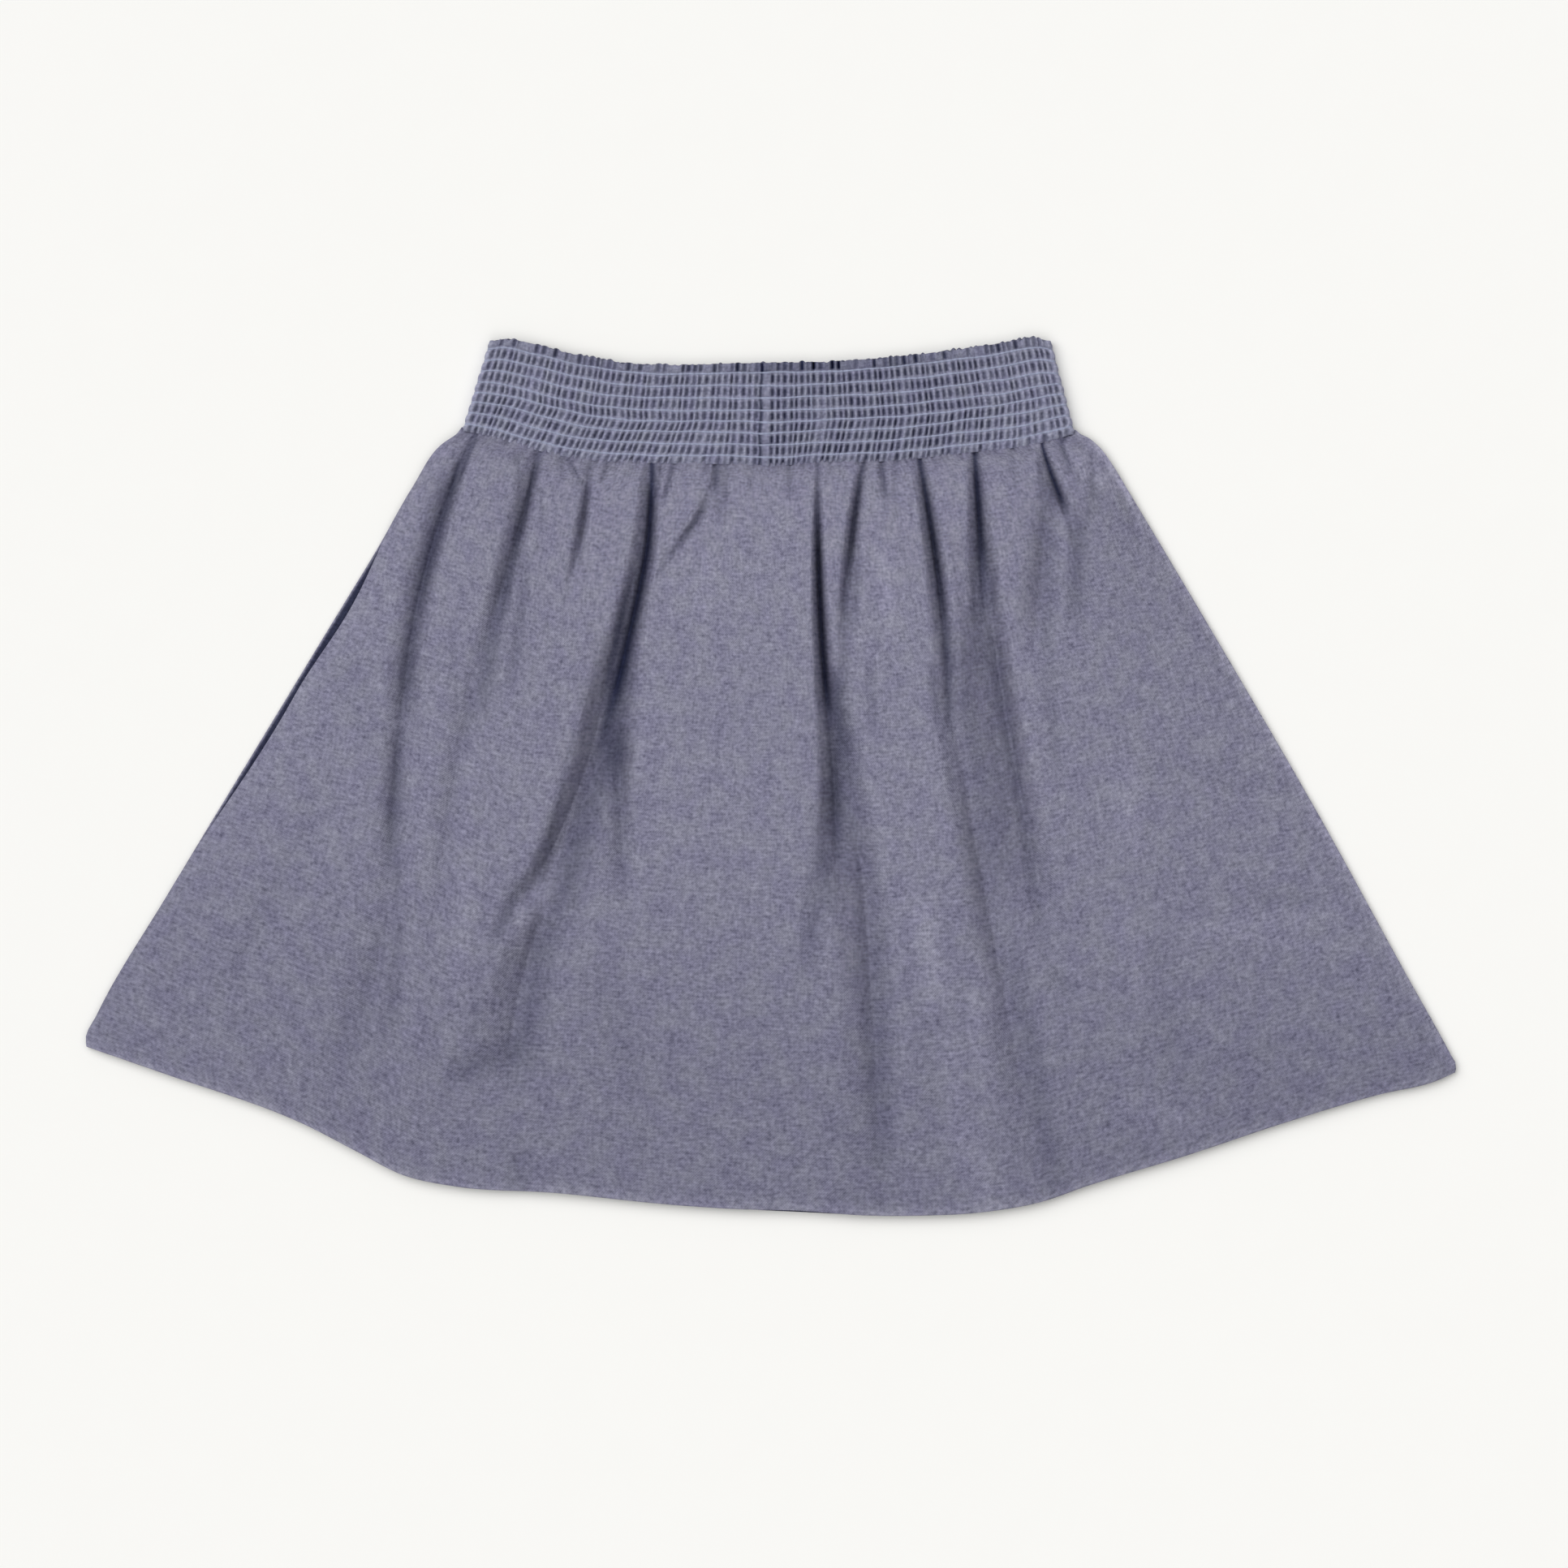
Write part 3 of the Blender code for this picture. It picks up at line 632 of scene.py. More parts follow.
def cloth_shell(
    name: str, outer: Array, inner: Array, cut: Array, tone: Array,
    inner_tone: Array, step: int,
) -> Piece:
    """Make a closed shell of cloth between two grids of points.

    Args:
        name: The piece's name.
        outer: Points of the outer face, rows by columns by 3, in millimetres.
        inner: Points of the inner face, one row for every step-th outer one.
        cut: Place of each outer point on the flat cloth, rows by columns by 2, in metres.
        tone: How much lighter or darker the cloth shows at each outer point, about 0, by painted
            shade and painted light.
        inner_tone: The same at each inner point.
        step: Outer rows for each inner one.

    Returns:
        The new object, which lies at the origin.
    """
    rows, columns = outer.shape[:2]
    points = np.concatenate((outer.reshape(-1, 3), inner.reshape(-1, 3))) * MM
    faces = grid_faces(rows, columns, 0, down=False).tolist()
    faces += grid_faces(inner.shape[0], columns, rows * columns, down=True).tolist()
    faces += rim_faces(rows, columns, step)
    mesh = bpy.data.meshes.new(name)
    mesh.from_pydata(points.tolist(), [], faces)
    mesh.shade_smooth()

    flat = np.concatenate((cut.reshape(-1, 2), cut[::step].reshape(-1, 2)))
    corner = np.empty(len(mesh.loops), dtype=np.int32)
    mesh.loops.foreach_get("vertex_index", corner)
    mesh.uv_layers.new(name="cut").data.foreach_set("uv", flat[corner].astype(np.float32).ravel())
    shades = np.concatenate((tone.ravel(), inner_tone.ravel())).astype(np.float32)
    mesh.attributes.new("tone", "FLOAT", "POINT").data.foreach_set("value", shades)
    return placed(name, mesh)


def placed(name: str, mesh: bpy.types.Mesh) -> Piece:
    """Link a new object with this mesh into the scene and return it."""
    piece = bpy.data.objects.new(name, mesh)
    bpy.context.scene.collection.objects.link(piece)
    return piece


def cords(
    name: str, paths: list[Array], radii: list[Array], side: Vector, sides: int = 6
) -> Piece:
    """Make one mesh of round threads, each a circle carried along its path.

    At each point the circle stands across the path: its first axis is square to the path and
    to side, and its second is square to both.

    Args:
        name: The piece's name.
        paths: Points of each thread, in millimetres.
        radii: Its radius at each of them.
        side: A direction that no path runs square to.
        sides: Corners of the circle.

    Returns:
        The new object.
    """
    points, faces, first = [], [], 0
    angle = np.arange(sides) * 2.0 * math.pi / sides
    for path, radius in zip(paths, radii):
        run = np.gradient(path, axis=0)
        run /= np.linalg.norm(run, axis=1, keepdims=True)
        out = np.cross(run, np.array(side))
        out /= np.linalg.norm(out, axis=1, keepdims=True)
        over = np.cross(run, out)
        ring = out[:, None] * np.cos(angle)[None, :, None]
        ring = ring + over[:, None] * np.sin(angle)[None, :, None]
        points.append((path[:, None] + ring * radius[:, None, None]).reshape(-1, 3))
        i, j = np.meshgrid(np.arange(len(path) - 1), np.arange(sides), indexing="ij")
        a = first + (i * sides + j).ravel()
        b = first + (i * sides + (j + 1) % sides).ravel()
        faces += np.stack((a, b, b + sides, a + sides), axis=1).tolist()
        end = first + (len(path) - 1) * sides
        faces.append(list(range(first, first + sides))[::-1])
        faces.append(list(range(end, end + sides)))
        first += len(path) * sides
    mesh = bpy.data.meshes.new(name)
    mesh.from_pydata((np.concatenate(points) * MM).tolist(), [], faces)
    mesh.shade_smooth()
    return placed(name, mesh)


class NodeBoard:
    """Adds and wires the shader nodes of one material."""

    def __init__(self, name: str) -> None:
        """Start a material with a Principled shader."""
        self.material = bpy.data.materials.new(name)
        self.material.use_nodes = True
        self.tree = self.material.node_tree
        self.shader = self.tree.nodes["Principled BSDF"]

    def add(self, kind: str, inputs: dict, **settings: object) -> bpy.types.Node:
        """Add a node.

        Args:
            kind: The node's type.
            inputs: A value or another node's output for each named or numbered input.
            settings: The node's own properties.

        Returns:
            The node.
        """
        node = self.tree.nodes.new(kind)
        for key, value in settings.items():
            setattr(node, key, value)
        for key, value in inputs.items():
            self.feed(node.inputs[key], value)
        return node

    def feed(self, socket: Socket, value: object) -> None:
        """Link another node's output to a socket, or set the socket's own value."""
        if isinstance(value, Socket):
            self.tree.links.new(value, socket)
        else:
            socket.default_value = value

    def math(self, operation: str, *values: object) -> Socket:
        """Return the result of a sum on values or outputs."""
        return self.add("ShaderNodeMath", dict(enumerate(values)), operation=operation).outputs[0]

    def vector_math(self, operation: str, *values: object) -> Socket:
        """Return the result of a sum on vectors or colours."""
        inputs = dict(enumerate(values))
        return self.add("ShaderNodeVectorMath", inputs, operation=operation).outputs[0]

    def place(self) -> Socket:
        """Return the place of each point, in metres."""
        return self.add("ShaderNodeTexCoord", {}).outputs["Object"]

    def specks(self, scale: float) -> Socket:
        """Return noise with scale grains to the metre."""
        inputs = {"Vector": self.place(), "Scale": scale}
        return self.add("ShaderNodeTexNoise", inputs).outputs["Fac"]

    def noise(self, cut: Socket, across: float, down: float, detail: float) -> Socket:
        """Return noise whose grains are across by down, in metres, on the flat cloth."""
        place = self.vector_math("MULTIPLY", cut, (1.0 / across, 1.0 / down, 1.0))
        inputs = {"Vector": place, "Scale": 1.0, "Detail": detail}
        return self.add("ShaderNodeTexNoise", inputs, noise_dimensions="2D").outputs["Fac"]

    def blend(self, share: object, low: object, high: object) -> Socket:
        """Return the colour that goes from low to high as share goes from 0 to 1."""
        node = self.add("ShaderNodeMix", {0: share}, data_type="RGBA")
        self.feed(node.inputs[6], low)
        self.feed(node.inputs[7], high)
        return node.outputs[2]

    def bump(self, height: Socket, distance: float) -> None:
        """Give the surface relief, distance metres deep where height is 1."""
        bump = self.add("ShaderNodeBump", {"Height": height, "Distance": distance})
        self.feed(self.shader.inputs["Normal"], bump.outputs[0])

    def finished(self, colour: Socket, roughness: float, gloss: float) -> Material:
        """Give the shader its colour, roughness and gloss, and return the material."""
        self.feed(self.shader.inputs["Base Color"], colour)
        self.feed(self.shader.inputs["Roughness"], roughness)
        self.feed(self.shader.inputs["Specular IOR Level"], gloss)
        return self.material


@dataclass(frozen=True)
class ChambrayFinish:
    """Chambray, a plain weave of indigo warp and pale weft, matt and washed soft.

    A yarn that is thicker or paler for a stretch shows as a short streak along the warp or the
    weft, and both make the heathered grain. Sizes are in metres on the flat cloth. The shares
    say how much each pattern adds to the way from indigo to pale, beside the weft's 1.
    """

    name: str
    indigo: Colour
    pale: Colour
    yarn: float = 0.00048
    slub_width: float = 0.0011
    slub_length: float = 0.0044
    grain_width: float = 0.00154
    grain_length: float = 0.00121
    mottle: float = 0.0030
    cloud: float = 0.010
    warp_share: float = 0.55
    grain_share: float = 1.2
    mottle_share: float = 0.8
    cloud_share: float = 0.6
    weave_share: float = 0.08
    streaks: float = 0.55
    contrast: float = 2.6
    contrast_start: float = -0.8
    worn_tint: Colour = (1.0, 1.02, 0.94)
    shade_tint: Colour = (1.0, 0.982, 0.893)
    roughness: float = 0.88
    gloss: float = 0.2
    relief: float = 0.00012
    weave_relief: float = 0.5
    mottle_relief: float = 1.5

    def material(self) -> Material:
        """Return the cloth's material, whose patterns lie on the cut and follow the folds.

        Each point's tone, painted shade and painted light, makes the colour lighter or darker in
        the end, by shade_tint.
        """
        board = NodeBoard(self.name)
        cut = board.add("ShaderNodeUVMap", {}, uv_map="cut").outputs[0]
        warp = board.noise(cut, self.slub_width, self.slub_length, 1.0)
        weft = board.noise(cut, self.slub_length, self.slub_width, 1.0)
        grain = board.noise(cut, self.grain_width, self.grain_length, 1.0)
        mottle = board.noise(cut, self.mottle, self.mottle, 3.0)
        cloud = board.noise(cut, self.cloud, self.cloud, 2.0)
        weave = self._weave(board, cut)

        shares = (self.warp_share, self.grain_share, self.mottle_share, self.cloud_share)
        total = weft
        for pattern, share in zip((warp, grain, mottle, cloud), shares):
            total = board.math("MULTIPLY_ADD", pattern, share, total)
        centred = board.math("SUBTRACT", total, 0.5 * (1.0 + sum(shares)))
        pallor = board.math("MULTIPLY_ADD", centred, self.streaks, 0.5)
        pallor = board.math("MULTIPLY_ADD", weave, self.weave_share, pallor)
        cloth = board.blend(pallor, (*self.indigo, 1.0), (*self.pale, 1.0))
        wear_and_shade = board.vector_math("MULTIPLY", cloth, self.worn_tint)
        spread = board.math("MULTIPLY_ADD", cloud, self.contrast, self.contrast_start)
        patches = board.add("ShaderNodeClamp", {0: spread}).outputs[0]
        tinted = board.blend(patches, cloth, wear_and_shade)

        # The tone attribute carries painted shade and painted light
        tone = board.add("ShaderNodeAttribute", {}, attribute_name="tone").outputs["Fac"]
        light = board.vector_math("MULTIPLY_ADD", tone, self.shade_tint, (1.0, 1.0, 1.0))
        lit = board.vector_math("MULTIPLY", tinted, light)

        slubs = board.math("ADD", warp, weft)
        height = board.math("MULTIPLY_ADD", weave, self.weave_relief, slubs)
        height = board.math("MULTIPLY_ADD", mottle, self.mottle_relief, height)
        board.bump(height, self.relief)
        return board.finished(lit, self.roughness, self.gloss)

    def _weave(self, board: NodeBoard, cut: Socket) -> Socket:
        """Return 1 where a weft yarn lies on top and -1 where a warp yarn does.

        The formula is the product of two sines, one across and one along the cloth, that turn
        over once for every two yarns.
        """
        turn = math.pi / self.yarn
        axes = board.add("ShaderNodeSeparateXYZ", {0: cut}).outputs
        across, down = (
            board.math("SINE", board.math("MULTIPLY", axis, turn)) for axis in axes[:2]
        )
        return board.math("MULTIPLY", across, down)


@dataclass(frozen=True)
class ThreadFinish:
    """Spun sewing thread, its twist seen as fine slanting streaks."""

    name: str
    colour: Colour
    twist: float = 0.0007
    slant: float = 0.8
    streaks: float = 0.18
    fibres: float = 900.0
    darkest: float = 0.62
    palest: float = 1.38
    roughness: float = 0.7
    gloss: float = 0.3
    relief: float = 0.00004

    def material(self) -> Material:
        """Return the thread's material."""
        board = NodeBoard(self.name)
        axes = board.add("ShaderNodeSeparateXYZ", {0: board.place()}).outputs
        slanting = board.math("MULTIPLY_ADD", axes[1], self.slant, axes[0])
        strands = board.math("SINE", board.math("MULTIPLY", slanting, 2.0 * math.pi / self.twist))
        share = board.math("MULTIPLY_ADD", strands, self.streaks, board.specks(self.fibres))
        dark, pale = (
            (*(factor * part for part in self.colour), 1.0)
            for factor in (self.darkest, self.palest)
        )
        board.bump(strands, self.relief)
        return board.finished(board.blend(share, dark, pale), self.roughness, self.gloss)


@dataclass(frozen=True)
class FloorFinish:
    """Pale matt paper, with a grain that is hardly seen."""

    name: str
    colour: Colour
    grains: float = 60.0
    darkest: float = 0.99
    roughness: float = 0.95
    gloss: float = 0.1

    def material(self) -> Material:
        """Return the floor's material."""
        board = NodeBoard(self.name)
        dim = (*(self.darkest * part for part in self.colour), 1.0)
        colour = board.blend(board.specks(self.grains), dim, (*self.colour, 1.0))
        return board.finished(colour, self.roughness, self.gloss)


@dataclass(frozen=True)
class PanelCut:
    """The cut of one panel that shows, in metres: its width at both ends and its length."""

    top: float = 0.37
    hem: float = 0.53
    length: float = 0.285

    def flat(self) -> tuple[float, float]:
        """Return the width and length of the rectangle that the panel is cut from."""
        return self.hem, self.length

    def area(self) -> float:
        """Return the area of the cut, a trapezium."""
        return (self.top + self.hem) / 2.0 * self.length

    def place(self, u: Array, v: Array) -> Array:
        """Return places on the cut for shares u across and v down."""
        width = self.top + (self.hem - self.top) * v
        return np.stack(((u - 0.5) * width, -v * self.length), axis=-1)


@dataclass(frozen=True)
class SkirtPanel:
    """What both panels share: their outline, cloth and grid of points."""

    cut: PanelCut = PanelCut()
    cloth: float = 0.6
    columns: int = 300
    rows: int = 140
    row_crowding: float = 1.25
    edge_marks: tuple[float, ...] = (0.0, 0.2, 0.5, 0.9, 1.4)
    edge_radius: float = 1.2
    inside_shade: float = 0.88
    dark_from: float = 0.1
    lit_rim: float = 1.0
    hem_step: float = 0.008
    side_reach: float = 6.0
    waist_step: float = 0.06
    calm_side: float = 12.0
    # Painted shade by place: darker towards the sides, the hem and its lower right corner
    side_painted_shade: float = 0.04
    hem_painted_shade: float = 0.09
    corner_painted_shade: float = 0.10
    centre_painted_shade: tuple[float, float, float] = (-0.04, 0.05, 0.07)

    # Zones down the panel where its painted shade changes. Columns: start and span, in shares of
    # the way
    UPPER_SHADE_ZONE = (0.12, 0.25)
    LOWER_ZONE = (0.42, 0.5)
    CORNER_ZONE = (0.8, 0.2)

    def from_sides(self, u: Array, width: Array) -> Array:
        """Return the distance from the nearer side, in millimetres."""
        return np.minimum(u, 1.0 - u) * width

    def with_edges(self, inner: Array, length: Array) -> Array:
        """Put rows of points close to both edges, where the cloth rolls over.

        Args:
            inner: Shares from 0 to 1 to spread between the edges' own marks.
            length: Length of each row in millimetres.

        Returns:
            The new shares, marks included.
        """
        marks = np.array(self.edge_marks) / np.asarray(length)[..., None]
        start = marks[..., -1:]
        middle = start + inner[..., 1:-1] * (1.0 - 2.0 * start)
        return np.concatenate((marks, middle, 1.0 - marks[..., ::-1]), axis=-1)

    def stations(self) -> Array:
        """Return the shares v of the rows, closer together towards the waist."""
        even = np.linspace(0.0, 1.0, self.rows + 1 - 2 * (len(self.edge_marks) - 1))
        return self.with_edges(even ** self.row_crowding, np.array(PANEL_LENGTH))

    def hem_share(self, v: Array) -> Array:
        """Return 0 on the single cloth and 1 on the turned-up hem."""
        start = 1.0 - HEM_DEPTH / PANEL_LENGTH
        return ease((v - start) / self.hem_step + 0.5)

    def edge_roll(self, u: Array, v: Array, width: Array) -> Array:
        """Return how much of the wall is left, less where an edge is near."""
        ends = np.minimum(v, 1.0 - v) * PANEL_LENGTH
        return rolled(np.minimum(self.from_sides(u, width), ends), self.edge_radius)

    def painted_shade_by_place(self, u: Array, v: Array) -> Array:
        """Return the painted shade that darkens the cloth towards its sides and its hem.

        The formula is a square law across, and two soft steps down that are stronger between the
        sides. Below 0 the cloth is lighter, by painted light.
        """
        side = (2.0 * u - 1.0) ** 2
        wear_and_shade, lower = rise(v, *self.UPPER_SHADE_ZONE), rise(v, *self.LOWER_ZONE)
        corner = rise(v, *self.CORNER_ZONE) * ease(2.0 * u - 1.0)
        plain_painted_shade, upper_painted_shade, lower_painted_shade = self.centre_painted_shade
        centre = (1.0 - side) * (upper_painted_shade * wear_and_shade + lower_painted_shade * lower + plain_painted_shade)
        return self.side_painted_shade * side + centre + self.hem_painted_shade * lower + self.corner_painted_shade * corner

    def shell(
        self, name: str, x: Array, y: Array, middle: Array, wall: Array,
        u: Array, v: Array, tone: Array, layer: Layer,
    ) -> Piece:
        """Make the panel's shell half a wall to both sides of its middle surface.

        Little light gets between the layers, so the face that looks there is darker, all but
        a rim at its sides.

        Args:
            name: The piece's name.
            x: Places across.
            y: Places along.
            middle: Heights of the middle surface.
            wall: The cloth's thickness.
            u: Shares across.
            v: Shares down.
            tone: How much lighter or darker the face that looks out is.
            layer: Which layer the panel makes.

        Returns:
            The new object.
        """
        faces = [np.stack((x, y, middle + side * wall / 2.0), axis=2) for side in (1.0, -1.0)]
        cut = self.cut.place(u, v)
        sides = self.from_sides(u, x[:, -1:] - x[:, :1])
        deep = rise(sides, self.dark_from, self.lit_rim)
        inside = np.minimum(tone, -self.inside_shade * deep)
        if layer is Layer.BACK:
            return cloth_shell(name, *faces, cut, tone, inside, 1)
        flipped = [grid[:, ::-1] for grid in reversed(faces)]
        return cloth_shell(name, *flipped, cut[:, ::-1], tone[:, ::-1], inside[:, ::-1], 1)


@dataclass(frozen=True)
class BackPanel(SkirtPanel):
    """The upper layer of the skirt, lifted in folds that fan out from the waistband."""

    solid_wall: float = 1.2
    seam_gap: float = 0.3
    groove: float = 0.7
    groove_end: float = 0.22
    hem_rest: float = 0.3
    hem_wall: float = 0.12
    hem_layers: float = 0.7
    stand_off: float = 0.4
    full_lift: float = 4.0
    side_fade_top: float = 0.05
    side_fade_hem: float = 0.34
    side_drop: float = 0.9
    gathers: int = 33
    gather_depth: float = 1.5
    gather_width: float = 2.3
    gather_stray: float = 0.6
    gather_least: float = 0.35
    gather_reach: tuple[float, float] = (5.0, 9.0)
    gather_edge: float = 1.5
    low_gather: float = 0.45
    gather_shade: float = 0.16
    pleats: int = 91
    pleat_depth: float = 0.5
    pleat_reach: float = 3.0
    pleat_shade: float = 0.50
    ripple_height: float = 0.22
    low_ripple: float = 0.4
    calm_waist: float = 14.0
    crowding: float = 1.6
    crowding_width: float = 5.0
    tuck: float = 1.4
    tuck_reach: float = 1.6
    tuck_dip: float = 0.45
    least_light: float = 0.07
    # Painted light on the right side and the hem: its strength, and its reach in mm
    painted_edge_strength: float = 0.34
    painted_light_side: float = 2.4
    painted_light_hem: float = 1.6

    # Columns: edge, centre, reach, width
    PEEPS = (
        (Edge.LEFT, 64.0, 33.0, 3.2), (Edge.LEFT, 18.0, 60.0, 2.8), (Edge.HEM, 10.0, 26.0, 0.6),
    )
    # Columns: share of the way down, lift clear of the front panel
    LIFT = (
        (0.00, 0.5), (0.04, 5.0), (0.10, 9.0), (0.20, 10.6), (0.35, 10.8), (0.55, 9.6),
        (0.80, 6.4), (0.96, 2.6), (1.00, 1.1),
    )

    def plan(self) -> PanelPlan:
        """Return the panel's outline, drawn in where the front panel shows past it."""
        plan = PanelPlan.laid()
        for edge, centre, reach, width in self.PEEPS:
            plan = plan.drawn_in(edge, centre, reach, width)
        return plan

    def crowded(self, plan: PanelPlan, v: Array) -> Array:
        """Spread the columns of every row, closer together at the folds that cross it.

        Args:
            plan: The panel's outline.
            v: The rows' shares of the way down.

        Returns:
            Shares u, rows by columns.
        """
        even = np.linspace(0.0, 1.0, CURVE_SAMPLES)
        wide, deep = np.meshgrid(even, v)
        x, y = plan.place(wide, deep)
        density = np.ones_like(x)
        for fold in FOLDS:
            near = bell(x - fold.line(y), self.crowding_width)
            density += self.crowding * fold.depth * fold.strength(y) * near
        total = np.cumsum(density, axis=1)
        total = (total - total[:, :1]) / (total[:, -1:] - total[:, :1])
        count = self.columns + 1 - 2 * (len(self.edge_marks) - 1)
        steps = np.linspace(0.0, 1.0, count)
        inner = np.stack([np.interp(steps, row, even) for row in total])
        return self.with_edges(inner, plan.width(v))

    def lift(self, u: Array, v: Array) -> Array:
        """Return how far the cloth would stand clear if it had no folds."""
        table = np.array(self.LIFT)
        height = np.interp(v, table[:, 0], table[:, 1])
        fade = self.side_fade_top + (self.side_fade_hem - self.side_fade_top) * v
        return height * slope_in(u / fade) * slope_in((1.0 - u) / fade)

    def painted_edge_light(self, u: Array, v: Array, width: Array) -> Array:
        """Return 1 on the right side and the hem, whose pressed edges get painted light."""
        right, hem = (1.0 - u) * width, (1.0 - v) * PANEL_LENGTH
        return np.maximum(bell(right, self.painted_light_side), bell(hem, self.painted_light_hem))

    def small_gathers(self, u: Array, v: Array, width: Array) -> Array:
        """Work out the gathers right below the waistband.

        Each is a V along a line of constant u, with its own place, depth and reach, and fades
        as the bell of the distance down.

        Args:
            u: Shares across.
            v: Shares down.
            width: The panel's width at v.

        Returns:
            Shares of the gathers' depth, from 0 to about 1.
        """
        k = np.arange(self.gathers, dtype=float)
        centres = (k + 0.5 + self.gather_stray * (scattered(k) - 0.5)) / self.gathers
        strengths = from_low(self.gather_least, scattered(k, 3.0))
        least_reach, more_reach = self.gather_reach
        reaches = least_reach + more_reach * scattered(k, 7.0)
        down = v * PANEL_LENGTH
        total = np.zeros_like(u)
        for centre, strength, reach in zip(centres, strengths, reaches):
            flank = np.clip(1.0 - np.abs(u - centre) * width / self.gather_width, 0.0, 1.0)
            gather = strength * bell(down, reach) * flank ** self.gather_edge
            total = np.maximum(total, gather)
        return total

    def short_pleats(self, u: Array, v: Array) -> Array:
        """Return the ends of the band's pleats, which fade within a few millimetres."""
        wave = 0.5 - 0.5 * np.cos(2.0 * math.pi * self.pleats * u)
        size = scattered(np.floor(self.pleats * u), 5.0)
        return wave * size * bell(v * PANEL_LENGTH, self.pleat_reach)

    def build(self) -> Piece:
        """Make the panel's shell and return its object."""
        plan = self.plan()
        stations = self.stations()
        u = self.crowded(plan, stations)
        v = np.repeat(stations[:, None], u.shape[1], axis=1)
        width = plan.width(stations)[:, None]
        x, y = plan.place(u, v)
        sides, down, hem = self.from_sides(u, width), v * PANEL_LENGTH, self.hem_share(v)

        lift, shade = self.lift(u, v), np.zeros_like(x)
        for fold in FOLDS:
            lift = lift * (1.0 - fold.cut(x, y))
            shade = np.maximum(shade, fold.shade(x, y))
        # Painted shade in the folds' valleys and by place on the panel
        light = (1.0 - shade) * (1.0 - self.painted_shade_by_place(u, v))
        gathers, pleats = self.small_gathers(u, v, width), self.short_pleats(u, v)
        lifted = np.clip(lift / self.full_lift, 0.0, 1.0)
        free = ease(sides / self.calm_side) * ease(down / self.calm_waist)

        rest = self.solid_wall + self.groove * (1.0 - ease(v / self.groove_end))
        rest = rest + self.hem_rest * hem
        top = rest + self.seam_gap + lift + self.solid_wall + self.hem_wall * hem
        top = top + self.ripple_height * ripple(x, y) * free * from_low(self.low_ripple, lifted)
        top = top - self.gather_depth * gathers * from_low(self.low_gather, lifted)
        top = top + self.stand_off - self.pleat_depth * pleats
        for crease in CREASES:
            press = crease.press(x, y)
            top = top - crease.depth * press
            light = light * (1.0 - crease.dark * press)

        wall = self.cloth * (1.0 + self.hem_layers * hem)
        drop = self.side_drop * (1.0 - ease(sides / self.side_reach))
        middle = top - wall / 2.0 - drop * ease(v / self.waist_step)
        tuck = self.tuck * bell(down, self.tuck_reach)
        middle = middle - self.tuck_dip * tuck
        light = light * (1.0 - self.gather_shade * gathers) * (1.0 - self.pleat_shade * pleats)
        # Painted light on the right side and the hem
        light = light * (1.0 + self.painted_edge_strength * self.painted_edge_light(u, v, width))
        light = np.maximum(light, self.least_light)
        wall = wall * self.edge_roll(u, v, width)
        return self.shell(
            "back_panel_cloth", x, y + tuck, middle, wall, u, v, light - 1.0, Layer.BACK
        )


@dataclass(frozen=True)
class FrontPanel(SkirtPanel):
    """The under layer, flat where it rests, with its own folds pressed into it from below."""

    columns: int = 220
    rows: int = 110
    side_rise: float = 0.62
    press: float = 0.55
    mirror: float = -0.94
    mirror_shift: float = 4.0
    gathers: int = 60
    gather_least: float = 0.4
    gather_reach: float = 9.0
    ripple_share: float = 0.12
    ripple_scale: float = 0.9
    ripple_shift: float = 40.0
    hem_layers: float = 0.3
    dip_shade: float = 0.35

    def build(self) -> Piece:
        """Make the panel's shell and return its object.

        Its folds mirror the back panel's, drawn a little closer together, as one gathered cut
        falls much like the other. They dip up from the face that rests on the floor.
        """
        plan = PanelPlan.laid()
        stations = self.stations()
        width = plan.width(stations)[:, None]
        even = np.linspace(0.0, 1.0, self.columns + 1 - 2 * (len(self.edge_marks) - 1))
        u = self.with_edges(np.repeat(even[None, :], len(stations), axis=0), width[:, 0])
        v = np.repeat(stations[:, None], u.shape[1], axis=1)
        x, y = plan.place(u, v)

        dip = np.zeros_like(x)
        for fold in FOLDS:
            dip = np.maximum(dip, fold.cut(self.mirror * x + self.mirror_shift, y))
        wave = 0.5 - 0.5 * np.cos(2.0 * math.pi * self.gathers * u)
        gathered = wave * from_low(self.gather_least, scattered(np.floor(self.gathers * u)))
        dip = np.maximum(dip, gathered * bell(v * PANEL_LENGTH, self.gather_reach))
        soft = self.ripple_share * (1.0 + ripple(self.ripple_scale * x + self.ripple_shift, y))
        sides = self.from_sides(u, width)
        dip = self.press * np.clip(dip + soft * ease(sides / self.calm_side), 0.0, 1.0)

        wall = self.cloth * (1.0 + self.hem_layers * self.hem_share(v))
        lift = self.side_rise * (1.0 - ease(sides / self.side_reach)) * ease(v / self.waist_step)
        middle = dip + lift + wall / 2.0
        wall = wall * self.edge_roll(u, v, width)
        return self.shell(
            "front_panel_cloth", x, y, middle, wall, u, v, -self.dip_shade * dip, Layer.FRONT
        )


@dataclass(frozen=True)
class BandColumns:
    """Columns of the waistband's ring, without those of its side folds.

    share is a column's place across the band, turn its place within its gather, from -0.5 to
    0.5 with the pleat at 0, and number the number of the gather. back is true on the back
    stretch. The front one starts at the column first and ends before the column last.
    """

    share: Array
    turn: Array
    number: Array
    back: Array
    first: int
    last: int


